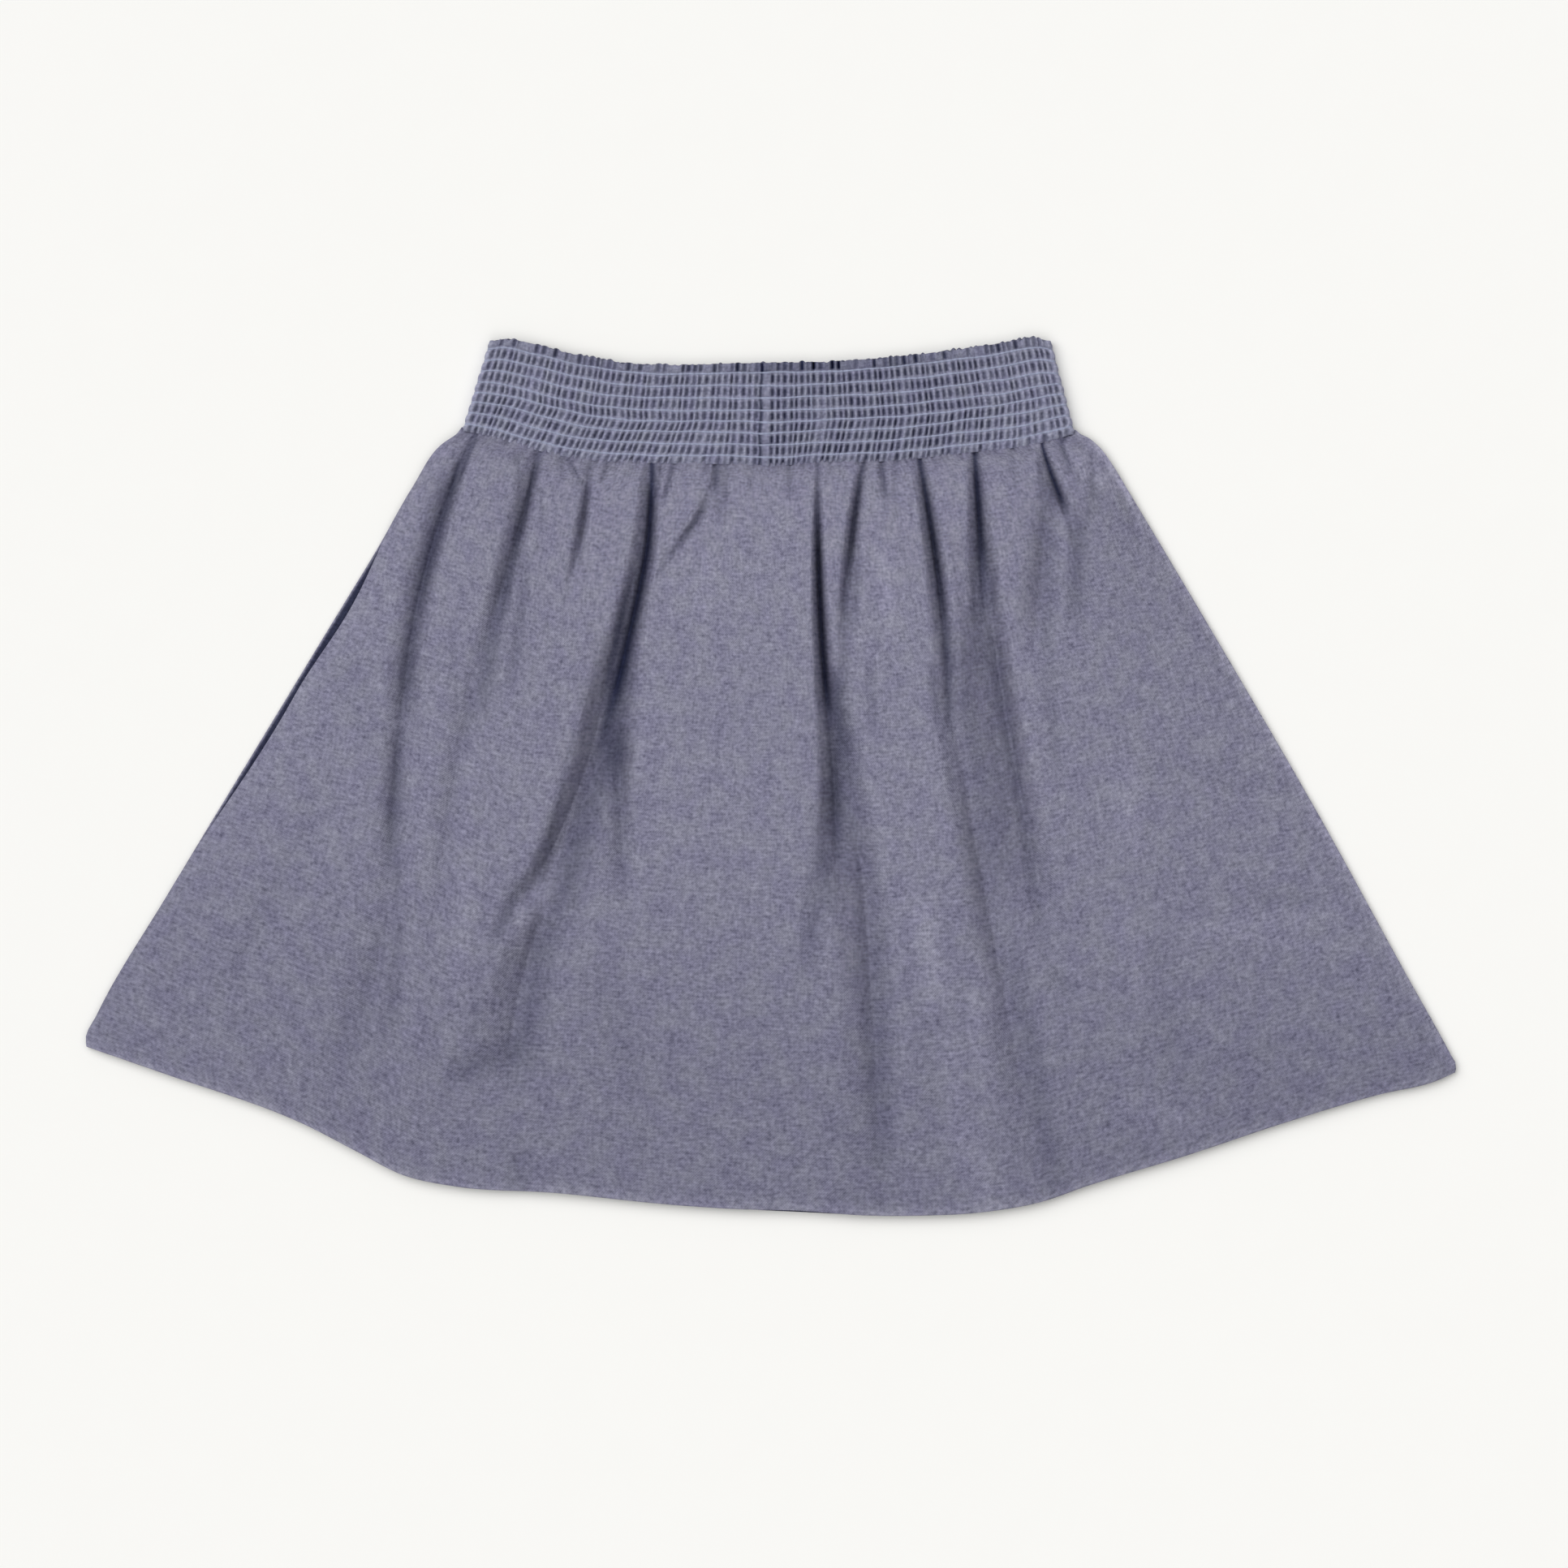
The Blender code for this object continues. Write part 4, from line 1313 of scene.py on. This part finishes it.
@dataclass(frozen=True)
class BandShades:
    """How much lighter or darker the parts of the waistband are, and how far they reach in mm.

    plain, row, strip, outer and pale_fold make it lighter, and the other shades darker; pleat,
    seam and ruffle are painted shade.
    """

    plain: float = 0.12
    pleat: float = 0.84
    row: float = 0.12
    strip: float = 0.06
    strip_edge: float = 0.8
    strip_extra: float = 0.4
    outer: float = 0.05
    outer_from: float = 55.0
    outer_span: float = 40.0
    seam: float = 0.80
    specks: float = 0.35
    right: float = 0.08
    right_pleat: float = 0.14
    right_edge: float = 2.0
    right_end: float = 95.0
    right_span: float = 30.0
    beside_seam: float = 0.16
    beside_at: float = 0.9
    beside_reach: float = 1.2
    ruffle: float = 0.22
    ruffle_middle: float = 0.14
    ruffle_x: float = 18.0
    ruffle_reach: float = 30.0
    pale_fold: float = 0.12
    fold_reach: float = 2.6


@dataclass(frozen=True)
class BandGrid:
    """Points of the waistband's ring, with what the threads need of them.

    across is each column's turn within its gather, from -0.5 to 0.5 with the pleat at 0.
    """

    outer: Array
    inner: Array
    tone: Array
    across: Array
    back: Array


@dataclass(frozen=True)
class Waistband:
    """One strip sewn into a ring at the centre back and gathered by rows of elastic thread.

    The rows of thread lie at shares of the way from the top edge down, and between them every
    gather stands up as a puff with a narrow pleat to both sides.
    """

    rows: tuple[float, ...] = (0.095, 0.220, 0.341, 0.465, 0.573, 0.680, 0.798, 0.915)
    gathers_left: int = 44
    gathers_right: int = 47
    gathers_front: int = 91
    seam_x: float = -3.9
    strip: float = 3.2
    cut_round: float = 0.74
    cut_height: float = 0.046
    cloth: float = 0.55
    laid_width: float = 216.0
    laid_height: float = 40.5
    row_height: float = 4.35
    puff: float = 1.05
    puff_edge: float = 2.5
    ruffle_puff: float = 0.85
    last_puff: float = 0.5
    pleat: float = 2.35
    pleat_width: float = 0.25
    pleat_start: float = 0.12
    pleat_span: float = 0.36
    pleat_least: float = 0.72
    flat_edge: float = 0.02
    ruffle_width: float = 0.30
    last_open: float = 0.6
    last_least: float = 0.35
    clump_least: float = 0.45
    front_pleat: float = 1.1
    front_rest: float = 0.35
    inset: float = 1.4
    fold_bulge: float = 0.55
    arc_steps: int = 6
    lean: float = 0.24
    lean_back: float = 0.8
    wander: float = 0.22
    scallop: float = 0.5
    scallop_reach: float = 3.0
    seam_waver: float = 0.22
    seam_reach: float = 2.5
    seam_dip: float = 0.7
    seam_width: float = 0.70
    seam_cloth: float = 0.55
    label_x: float = 19.0
    label_reach: float = 3.2
    label_ease: float = 0.4
    label_cells: tuple[int, int] = (3, 6)
    # Painted shade on the ring's inner face, where little light gets in
    inside_shade_tone: float = -0.5
    edge_radius: float = 1.0
    shades: BandShades = BandShades()

    # Shares of the way between two rows of thread, where the mesh has its own rows of points
    CELL = (0.0, 0.14, 0.30, 0.50, 0.70, 0.86)
    # Places within a gather where the mesh has its columns, on the back and on the front
    BACK_TURNS = (-0.5, -0.32, -0.17, 0.0, 0.17, 0.32)
    FRONT_TURNS = (-0.5, -0.2, 0.0, 0.2)
    INNER_STEP = 2
    # Distances of the columns next to the centre-back seam, to its right and to its left
    STRIP_MARKS = (0.0, 0.18, 0.38, 0.65, 1.1, 1.8, 2.5)
    SEAM_MARKS = (0.35, 0.16, 0.04)
    # Numbers of the first gather on the left back, on the right back and on the front
    LEFT_NUMBER, RIGHT_NUMBER, FRONT_NUMBER = 100, 200, 400
    # Unevenness of the gathers. Columns: share of a gather, turn for each gather
    UNEVEN = ((0.10, 0.9), (0.08, 2.3))
    # Waver of the seam: turn for each millimetre down, and where it starts
    SEAM_TURN = (0.42, 0.8)
    # Shares across over which the lean of the pleats dies away at the folds and at the seam
    LEAN_SIDE, LEAN_SEAM = 0.10, 0.16
    # Left part that leans back first: where its end starts, and its span
    LEAN_LEFT = (0.25, 0.2)
    # Chance that a ruffle's pleat forms: its start and its span
    RUFFLE_CHANCE = (0.08, 0.65)
    # Waves of the rows of thread. Columns: height in mm, turn for each mm across
    ROW_WAVE, FINE_WAVE = (0.16, 0.11), (0.10, 0.37)
    # Turn of the first from row to row, and of the second over the band's height
    ROW_TURN, FINE_TURN = 2.0, 9.0
    # Bumps of the top edge in mm: wide ones over three gathers, narrow ones, the wide ones' middle
    WIDE_BUMP, NARROW_BUMP, BUMP_MIDDLE = 0.9, 1.1, 0.45
    # Shares of the height over which the two edges calm the rows, and over which bumps die away
    CALM_TOP, CALM_BOTTOM, BUMP_END = 0.09, 0.08, 0.07

    def levels(self) -> tuple[Array, Array, Array]:
        """List the ring's rows of points.

        Returns:
            Their shares v of the way down, the cell that each lies in, and the share of the way
            through it.
        """
        marks = np.array((0.0,) + self.rows + (1.0,))
        cell = np.repeat(np.arange(len(marks) - 1), len(self.CELL))
        through = np.tile(np.array(self.CELL), len(marks) - 1)
        v = marks[cell] + (marks[cell + 1] - marks[cell]) * through
        return np.append(v, 1.0), np.append(cell, cell[-1]), np.append(through, 1.0)

    def stretch(
        self, start: float, end: float, gathers: int, turns: tuple[float, ...], first: int
    ) -> tuple[Array, Array, Array]:
        """Lay out the columns of one gathered stretch, its gathers a little uneven.

        Args:
            start: Share across the band where it starts.
            end: Share where it ends.
            gathers: How many gathers it has.
            turns: Places of the columns within a gather.
            first: Number of its first gather.

        Returns:
            Shares across the band, turns within a gather, and gather numbers.
        """
        number = np.repeat(np.arange(gathers), len(turns))
        turn = np.tile(np.array(turns), gathers)
        place = number + 0.5 + turn
        (slow, slow_turn), (quick, quick_turn) = self.UNEVEN
        uneven = slow * np.sin(slow_turn * place + first) + quick * np.sin(quick_turn * place)
        calm = np.clip(np.minimum(place, gathers - place), 0.0, 1.0)
        share = start + (end - start) * (place + uneven * calm) / gathers
        return np.append(share, end), np.append(turn, 0.5), np.append(number, gathers - 1) + first

    def lean_shift(self, share: Array, v: Array) -> Array:
        """Shift the pleats sideways, as they lean in the band's lower half.

        The shift grows evenly with the distance below the fifth row, dies away towards both
        side folds and the centre-back seam, and on the left starts with a short lean back
        below the fourth.

        Args:
            share: Shares across the band.
            v: Shares down.

        Returns:
            Shifts in x, in millimetres.
        """
        seam = 0.5 + self.seam_x / self.laid_width
        calm = ease(np.minimum(share, 1.0 - share) / self.LEAN_SIDE)
        calm = calm * ease(np.abs(share - seam) / self.LEAN_SEAM)
        fourth, fifth = self.rows[3:5]
        below = np.clip(v - fifth, 0.0, None) * self.laid_height
        back = np.clip(v - fourth, 0.0, fifth - fourth) * self.laid_height
        left = 1.0 - rise(share, *self.LEAN_LEFT)
        return calm * self.lean * (self.lean_back * left * back - below)

    def form(
        self, turn: Array, number: Array, cell: Array, through: Array
    ) -> tuple[Array, Array, Array]:
        """Work out how the cloth puffs up and where it dips between two rows of thread.

        The puff is 1 midway between two rows and 0 on them. A pleat is the bell of the turn
        within the gather, closed at the rows, and open at the band's own edges.

        Args:
            turn: Turns within a gather, of every column.
            number: Gather numbers.
            cell: The cell of every row of points.
            through: The share of the way through it.

        Returns:
            Puff, pleat and each pleat's strength, rows by columns.
        """
        t, c = through[:, None], cell[:, None].astype(float)
        middle = 1.0 - np.abs(2.0 * t - 1.0)
        puff = 1.0 - (1.0 - middle) ** self.puff_edge
        ends = rise(middle, self.pleat_start, self.pleat_span)
        last = len(self.rows)
        top_edge, bottom_edge = (c == 0) & (t < 0.5), (c == last) & (t > 0.5)
        ends = np.where(top_edge, 1.0, ends)
        ends = np.where(bottom_edge, 1.0 - self.last_open * (t - 0.5), ends)
        puff = np.where(top_edge, self.ruffle_puff, puff)
        puff = np.where(bottom_edge, puff * self.last_puff, puff)
        keys = number[None, :].astype(float)
        chance = scattered(keys, c)
        clump = scattered(np.floor(keys / 2.0), c + 4.0)
        ruffle = rise(chance, *self.RUFFLE_CHANCE) * from_low(self.clump_least, clump)
        strength = np.where(c == 0, ruffle, from_low(self.pleat_least, chance))
        strength = np.where(c == last, from_low(self.last_least, chance), strength)
        flat = ease((0.5 - np.abs(turn)) / self.flat_edge)[None, :]
        wide = np.where(c == 0, self.ruffle_width, self.pleat_width)
        return puff, bell(turn[None, :], wide) * ends * flat, strength

    def columns(self, top: Array, bottom: Array) -> BandColumns:
        """Lay out the ring's columns, from the centre-back seam right round to its other side.

        Args:
            top: The band's top edge.
            bottom: Its lower edge.

        Returns:
            The columns.
        """
        even = np.linspace(0.0, 1.0, CURVE_SAMPLES)
        middle_x = (along(top, even)[0] + along(bottom, even)[0]) / 2.0
        seam, strip_end = np.interp((self.seam_x, self.seam_x + self.strip), middle_x, even)
        inset = self.inset / (middle_x[-1] - middle_x[0])
        unit = (strip_end - seam) / self.strip

        strip, edge = (
            (seam + unit * np.array(marks), np.full(len(marks), 0.5), np.full(len(marks), number))
            for marks, number in (
                (self.STRIP_MARKS, self.RIGHT_NUMBER),
                (tuple(-mark for mark in self.SEAM_MARKS), self.LEFT_NUMBER),
            )
        )
        left_end = seam - self.seam_cloth * unit
        right, front, left = (
            self.stretch(*stretch) for stretch in (
                (strip_end, 1.0 - inset, self.gathers_right, self.BACK_TURNS, self.RIGHT_NUMBER),
                (1.0 - inset, inset, self.gathers_front, self.FRONT_TURNS, self.FRONT_NUMBER),
                (inset, left_end, self.gathers_left, self.BACK_TURNS, self.LEFT_NUMBER),
            )
        )
        share, turn, number = (
            np.concatenate(parts) for parts in zip(strip, right, front, left, edge)
        )
        first = len(strip[0]) + len(right[0])
        last = first + len(front[0])
        back = np.ones(len(share), bool)
        back[first:last] = False
        return BandColumns(share, turn, number, back, first, last)

    def from_folds(self, share: Array) -> Array:
        """Return the distance from the nearer side fold, in millimetres."""
        return np.minimum(share, 1.0 - share) * self.laid_width

    def plan(
        self, top: Array, bottom: Array, columns: BandColumns, puff: Array
    ) -> tuple[Array, Array]:
        """Find the plan positions of all points.

        They lie on straight lines from the top edge to the lower one. The pleats lean and
        wander a little, the rows of thread rise and sink in slow waves, the top edge is bumpy,
        the side folds are scalloped by the puffs, and the seam wavers.

        Args:
            top: The band's top edge.
            bottom: Its lower edge.
            columns: The ring's columns.
            puff: How much the cloth puffs up, rows by columns.

        Returns:
            x and y in millimetres, rows by columns.
        """
        v, cell, through = (values[:, None] for values in self.levels())
        share, number, back = columns.share, columns.number, columns.back
        inside = 1.0 - 2.0 * np.abs(columns.turn)
        x, y = (
            (1.0 - v) * upper + v * lower
            for upper, lower in zip(along(top, share), along(bottom, share))
        )
        x = x + np.where(back, self.lean_shift(share[None, :], v), 0.0)
        wander = self.wander * (scattered(number[None, :].astype(float), cell + 20.0) - 0.5)
        x = x + wander * (1.0 - np.abs(2.0 * through - 1.0)) * inside

        (row_size, row_pace), (fine_size, fine_pace) = self.ROW_WAVE, self.FINE_WAVE
        wave = row_size * np.sin(row_pace * x + self.ROW_TURN * cell)
        wave = wave + fine_size * np.sin(fine_pace * x + v * self.FINE_TURN)
        y = y + wave * ease(v / self.CALM_TOP) * ease((1.0 - v) / self.CALM_BOTTOM)
        wide = self.WIDE_BUMP * (scattered(np.floor(number / 3.0), 9.0) - self.BUMP_MIDDLE)
        bumps = wide + self.NARROW_BUMP * (scattered(number.astype(float)) - 0.5)
        y = y + bumps[None, :] * (1.0 - ease(v / self.BUMP_END)) * inside ** 0.5

        outwards = np.sign(share - 0.5) * (puff[:, :1] - 0.5)
        x = x + self.scallop * outwards * bell(self.from_folds(share), self.scallop_reach)
        pace, start = self.SEAM_TURN
        near = bell(x - self.seam_x, self.seam_reach) * back
        return x + self.seam_waver * np.sin(pace * y + start) * near, y

    def tones(
        self, x: Array, columns: BandColumns, puff: Array, dips: Array, from_seam: Array
    ) -> Array:
        """Work out how much lighter or darker the cloth is than plain.

        Painted shade makes it dark in the pleats, in the centre-back seam and in the ruffle. It is
        a little darker right of the seam, and paler along the rows of thread and at the side
        folds.

        Args:
            x: Places across, rows by columns.
            columns: The ring's columns.
            puff: How much the cloth puffs up.
            dips: How deep the pleats are.
            from_seam: Distance from the centre-back seam, in millimetres.

        Returns:
            Tones, rows by columns.
        """
        s, cell = self.shades, self.levels()[1][:, None]
        strip_end = self.strip + s.strip_extra
        strip = ease(from_seam / s.strip_edge) * ease((strip_end - from_seam) / s.strip_edge)
        # Painted shade darkens the pleats here, and the seam and the ruffle below
        tone = s.plain - s.pleat * dips + s.row * (1.0 - puff) * (1.0 - dips) + s.strip * strip
        tone = tone + s.outer * rise(np.abs(x), s.outer_from, s.outer_span)
        specks = scattered(x[:1] * 3.0, cell) * strip * puff
        tone = tone - s.seam * bell(from_seam, self.seam_width) - s.specks * specks
        right = ease(from_seam / s.right_edge) * ease((s.right_end - x) / s.right_span)
        tone = tone - right * columns.back * (s.right + s.right_pleat * dips)
        beside = bell(from_seam - s.beside_at, s.beside_reach) * columns.back
        tone = tone - s.beside_seam * beside
        ruffle = s.ruffle + s.ruffle_middle * bell(x - s.ruffle_x, s.ruffle_reach)
        tone = np.where(cell == 0, tone - ruffle, tone)
        return tone + s.pale_fold * bell(self.from_folds(columns.share), s.fold_reach)

    def ring(self) -> BandGrid:
        """Lay out the whole ring: from the centre-back seam right round to its other side."""
        top, bottom = smooth_curve(BAND_TOP), smooth_curve(WAIST_SEAM)
        columns = self.columns(top, bottom)
        back, first, last = columns.back, columns.first, columns.last
        v, cell, through = self.levels()
        puff, pleat, strength = self.form(columns.turn, columns.number, cell, through)
        x, y = self.plan(top, bottom, columns, puff)

        dips = pleat * strength * self.weakened(x, cell)
        upper = self.row_height + self.puff * puff - self.pleat * dips
        lower = self.front_rest * (1.0 - puff) + self.front_pleat * pleat * strength
        from_seam = np.where(back, x - x[:, :1], FAR)
        z = np.where(back, upper, lower) - self.seam_dip * bell(from_seam, self.seam_width)

        ends = np.minimum(v, 1.0 - v)[:, None] * self.laid_height
        wall = rolled(np.broadcast_to(ends, z.shape), self.edge_radius)
        inward = np.where(back, -self.cloth, self.cloth)
        centre = z + inward / 2.0
        outer = np.stack((x, y, centre - inward / 2.0 * wall), axis=2)
        inner = np.stack((x, y, centre + inward / 2.0 * wall), axis=2)[:: self.INNER_STEP]
        tone = np.stack((x, y, self.tones(x, columns, puff, dips, from_seam)), axis=2)
        return BandGrid(
            self.with_side_folds(outer, first, last), self.with_side_folds(inner, first, last),
            self.with_side_folds(tone, first, last, plain=True)[..., 2],
            self.along_ring(columns.turn, first, last, 0.5),
            self.along_ring(back, first, last, True),
        )

    def weakened(self, x: Array, cell: Array) -> Array:
        """Return how much of each pleat is left where a label is sewn in behind the cloth."""
        low, high = self.label_cells
        behind = bell(x - self.label_x, self.label_reach)
        return 1.0 - self.label_ease * behind * ((cell >= low) & (cell <= high))[:, None]

    def along_ring(self, values: Array, first: int, last: int, fill: object) -> Array:
        """Return the values of all columns, with fill for those of both side folds."""
        extra = np.full(self.arc_steps - 1, fill, dtype=values.dtype)
        return np.concatenate((values[:first], extra, values[first:last], extra, values[last:]))

    def with_side_folds(self, grid: Array, first: int, last: int, plain: bool = False) -> Array:
        """Put rounded side folds before and after the front stretch.

        Each row of a side fold is half an ellipse between the two points that lie one above
        the other, drawn outwards by a share of its radius.

        Args:
            grid: Points of the ring without its side folds.
            first: First column of the front stretch.
            last: First column after it.
            plain: Whether the third value isn't a height, and is only carried round.

        Returns:
            The grid with the new columns.
        """
        def arc(start: Array, end: Array, side: float) -> Array:
            """Return the half ellipse from start to end."""
            angle = np.linspace(np.pi / 2.0, -np.pi / 2.0, self.arc_steps + 1)[1:-1]
            radius = (start[..., 2] - end[..., 2]) / 2.0
            points = np.repeat((start + end) / 2.0, len(angle), axis=1)
            if not plain:
                points[..., 0] += side * self.fold_bulge * np.abs(radius) * np.cos(angle)
                points[..., 2] += radius * np.sin(angle)
            return points

        return np.concatenate((
            grid[:, :first], arc(grid[:, first - 1:first], grid[:, first:first + 1], 1.0),
            grid[:, first:last], arc(grid[:, last - 1:last], grid[:, last:last + 1], -1.0),
            grid[:, last:],
        ), axis=1)

    def build(self, grid: BandGrid) -> Piece:
        """Make the band's shell and return its object."""
        columns = grid.outer.shape[1]
        v = self.levels()[0]
        u = np.linspace(0.0, self.cut_round, columns)
        cut = np.stack(np.meshgrid(u, -v * self.cut_height), axis=2)
        inside = np.full(grid.inner.shape[:2], self.inside_shade_tone)
        return cloth_shell(
            "waistband_cloth", grid.outer, grid.inner, cut, grid.tone, inside, self.INNER_STEP
        )


@dataclass(frozen=True)
class ShirringThreads:
    """The eight rows of thread round the band, which show as a pale line of stitches each."""

    band: Waistband
    radius: float = 0.47
    pinch: float = 0.50
    stand: float = 0.10
    stray: float = 0.10
    front_share: float = 0.6

    def build(self, grid: BandGrid) -> Piece:
        """Make all the rows in one mesh.

        A row follows the cloth's outer points along its own level, a little outwards from them,
        and is thinner where each stitch dives into a pleat, and on the front, where it rests
        on the floor.
        """
        step = len(self.band.CELL)
        paths, radii = [], []
        swell = 1.0 - self.pinch * (1.0 - np.abs(2.0 * grid.across)) ** 2
        for row in range(len(self.band.rows)):
            level = step * (row + 1)
            outer = grid.outer[level]
            out = outer - grid.inner[level // self.band.INNER_STEP]
            out /= np.linalg.norm(out, axis=1, keepdims=True)
            path = outer + out * self.stand * swell[:, None]
            path[:, 2] = np.maximum(path[:, 2], self.radius * self.front_share)
            key = np.floor(np.arange(len(path)) / len(self.band.BACK_TURNS))
            path[:, 1] += self.stray * (scattered(key, float(row)) - 0.5)
            paths.append(path)
            radii.append(self.radius * swell * np.where(grid.back, 1.0, self.front_share))
        return cords("shirring_threads", paths, radii, Vector((0.0, 1.0, 0.0)))


@dataclass(frozen=True)
class LabelStitching:
    """The short upright line of stitches that holds a label sewn in behind the band."""

    x: float = 15.9
    first_row: int = 12
    last_row: int = 33
    radius: float = 0.2
    stand: float = 0.12
    stray: float = 0.12
    stray_turn: float = 1.3
    stitch_turn: float = 1.05
    thinnest: float = 0.7

    def build(self, grid: BandGrid) -> Piece:
        """Make the stitches: a fine thread up one crest, thinner between the stitches."""
        rows = np.arange(self.first_row, self.last_row + 1)
        crests = np.where(grid.back & (np.abs(grid.across) > 0.49))[0]
        nearest = crests[np.argmin(np.abs(grid.outer[rows[0], crests, 0] - self.x))]
        path = grid.outer[rows, nearest].copy()
        step = np.arange(len(rows))
        path[:, 0] += self.stray * np.sin(step * self.stray_turn)
        path[:, 2] += self.stand
        swell = from_low(self.thinnest, np.abs(np.sin(step * self.stitch_turn)))
        return cords("label_stitching", [path], [self.radius * swell], Vector((1.0, 0.0, 0.0)))


@dataclass(frozen=True)
class Lamp:
    """A wide soft light: its strength, its spread, and where it stands, in degrees."""

    name: str
    energy: float
    spread: float
    azimuth: float
    elevation: float

    def build(self) -> None:
        """Add the lamp, turned towards the middle of the floor."""
        sun = bpy.data.lights.new(self.name, "SUN")
        sun.energy = self.energy
        sun.angle = math.radians(self.spread)
        lamp = bpy.data.objects.new(self.name, sun)
        around, above = math.radians(self.azimuth), math.radians(self.elevation)
        lamp.location = (
            math.cos(around) * math.cos(above), math.sin(around) * math.cos(above),
            math.sin(above),
        )
        lamp.rotation_euler = (-lamp.location).to_track_quat("-Z", "Y").to_euler()
        bpy.context.scene.collection.objects.link(lamp)


@dataclass(frozen=True)
class Studio:
    """Pale floor, soft light from the upper left, white surroundings, and the camera above."""

    floor_size: float = 3.0
    floor_drop: float = 0.0002
    surroundings: float = 0.225
    lamps: tuple[Lamp, ...] = (
        Lamp("key_light", 1.45, 60.0, 145.0, 50.0), Lamp("top_light", 1.40, 100.0, 90.0, 88.0),
    )
    view_width: float = 0.58926
    view_x: float = 0.00488
    view_y: float = -0.00259
    camera_height: float = 3.2
    camera_range: float = 20.0
    sensor: float = 36.0

    def build(self, finish: FloorFinish) -> Piece:
        """Make the studio and return its floor."""
        self.light()
        self.camera()
        half = self.floor_size / 2.0
        corners = [(-half, -half), (half, -half), (half, half), (-half, half)]
        mesh = bpy.data.meshes.new("studio_floor")
        mesh.from_pydata([(x, y, -self.floor_drop) for x, y in corners], [], [(0, 1, 2, 3)])
        mesh.materials.append(finish.material())
        return placed("studio_floor", mesh)

    def light(self) -> None:
        """Add the lamps and the white surroundings."""
        for lamp in self.lamps:
            lamp.build()
        world = bpy.data.worlds.new("studio_surroundings")
        world.use_nodes = True
        glow = world.node_tree.nodes["Background"]
        glow.inputs["Color"].default_value = (1.0, 1.0, 1.0, 1.0)
        glow.inputs["Strength"].default_value = self.surroundings
        bpy.context.scene.world = world
        bpy.context.scene.view_settings.view_transform = "Standard"

    def camera(self) -> None:
        """Add the camera straight above, its lens long enough to frame view_width metres."""
        lens = bpy.data.cameras.new("studio_camera")
        lens.type = "PERSP"
        lens.sensor_width = self.sensor
        lens.lens = self.sensor * self.camera_height / self.view_width
        lens.clip_end = self.camera_range
        camera = bpy.data.objects.new("studio_camera", lens)
        camera.location = (self.view_x, self.view_y, self.camera_height)
        bpy.context.scene.collection.objects.link(camera)
        bpy.context.scene.camera = camera


def report(piece: Piece) -> None:
    """Log a piece's name and how many triangles it has."""
    triangles = sum(len(face.vertices) - 2 for face in piece.data.polygons)
    LOG.info("%s: %d triangles", piece.name, triangles)


def main() -> None:
    """Build the pieces in order, dress them and put them on the frame."""
    logging.basicConfig(level=logging.INFO, format="%(message)s")
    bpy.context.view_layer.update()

    chambray = ChambrayFinish("chambray", (0.101, 0.0985, 0.156), (0.345, 0.336, 0.467)).material()
    shirred = ChambrayFinish(
        "chambray_shirred", (0.122, 0.123, 0.198), (0.376, 0.378, 0.523), streaks=0.53
    ).material()
    thread = ThreadFinish("sewing_thread", (0.325, 0.352, 0.480)).material()

    back, front, band = BackPanel(), FrontPanel(), Waistband()
    grid = band.ring()
    pieces = {
        "back_panel_cloth": (back.build(), chambray, "chambray"),
        "front_panel_cloth": (front.build(), chambray, "chambray"),
        "waistband_cloth": (band.build(grid), shirred, "chambray_shirred"),
        "shirring_threads": (ShirringThreads(band).build(grid), thread, "stitching"),
        "label_stitching": (LabelStitching().build(grid), thread, "stitching"),
    }
    for piece, finish, slot in pieces.values():
        piece.data.materials.append(finish)
        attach(piece, "root")
        report(piece)

    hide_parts("skirt_back_panel")
    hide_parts("skirt_front_panel")
    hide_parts("waistband")
    floor = Studio().build(FloorFinish("pale_paper", (0.93, 0.925, 0.90)))
    front.cut.flat()
    front.cut.area()
    back.cut.flat()
    back.cut.area()


if __name__ == "__main__":
    main()
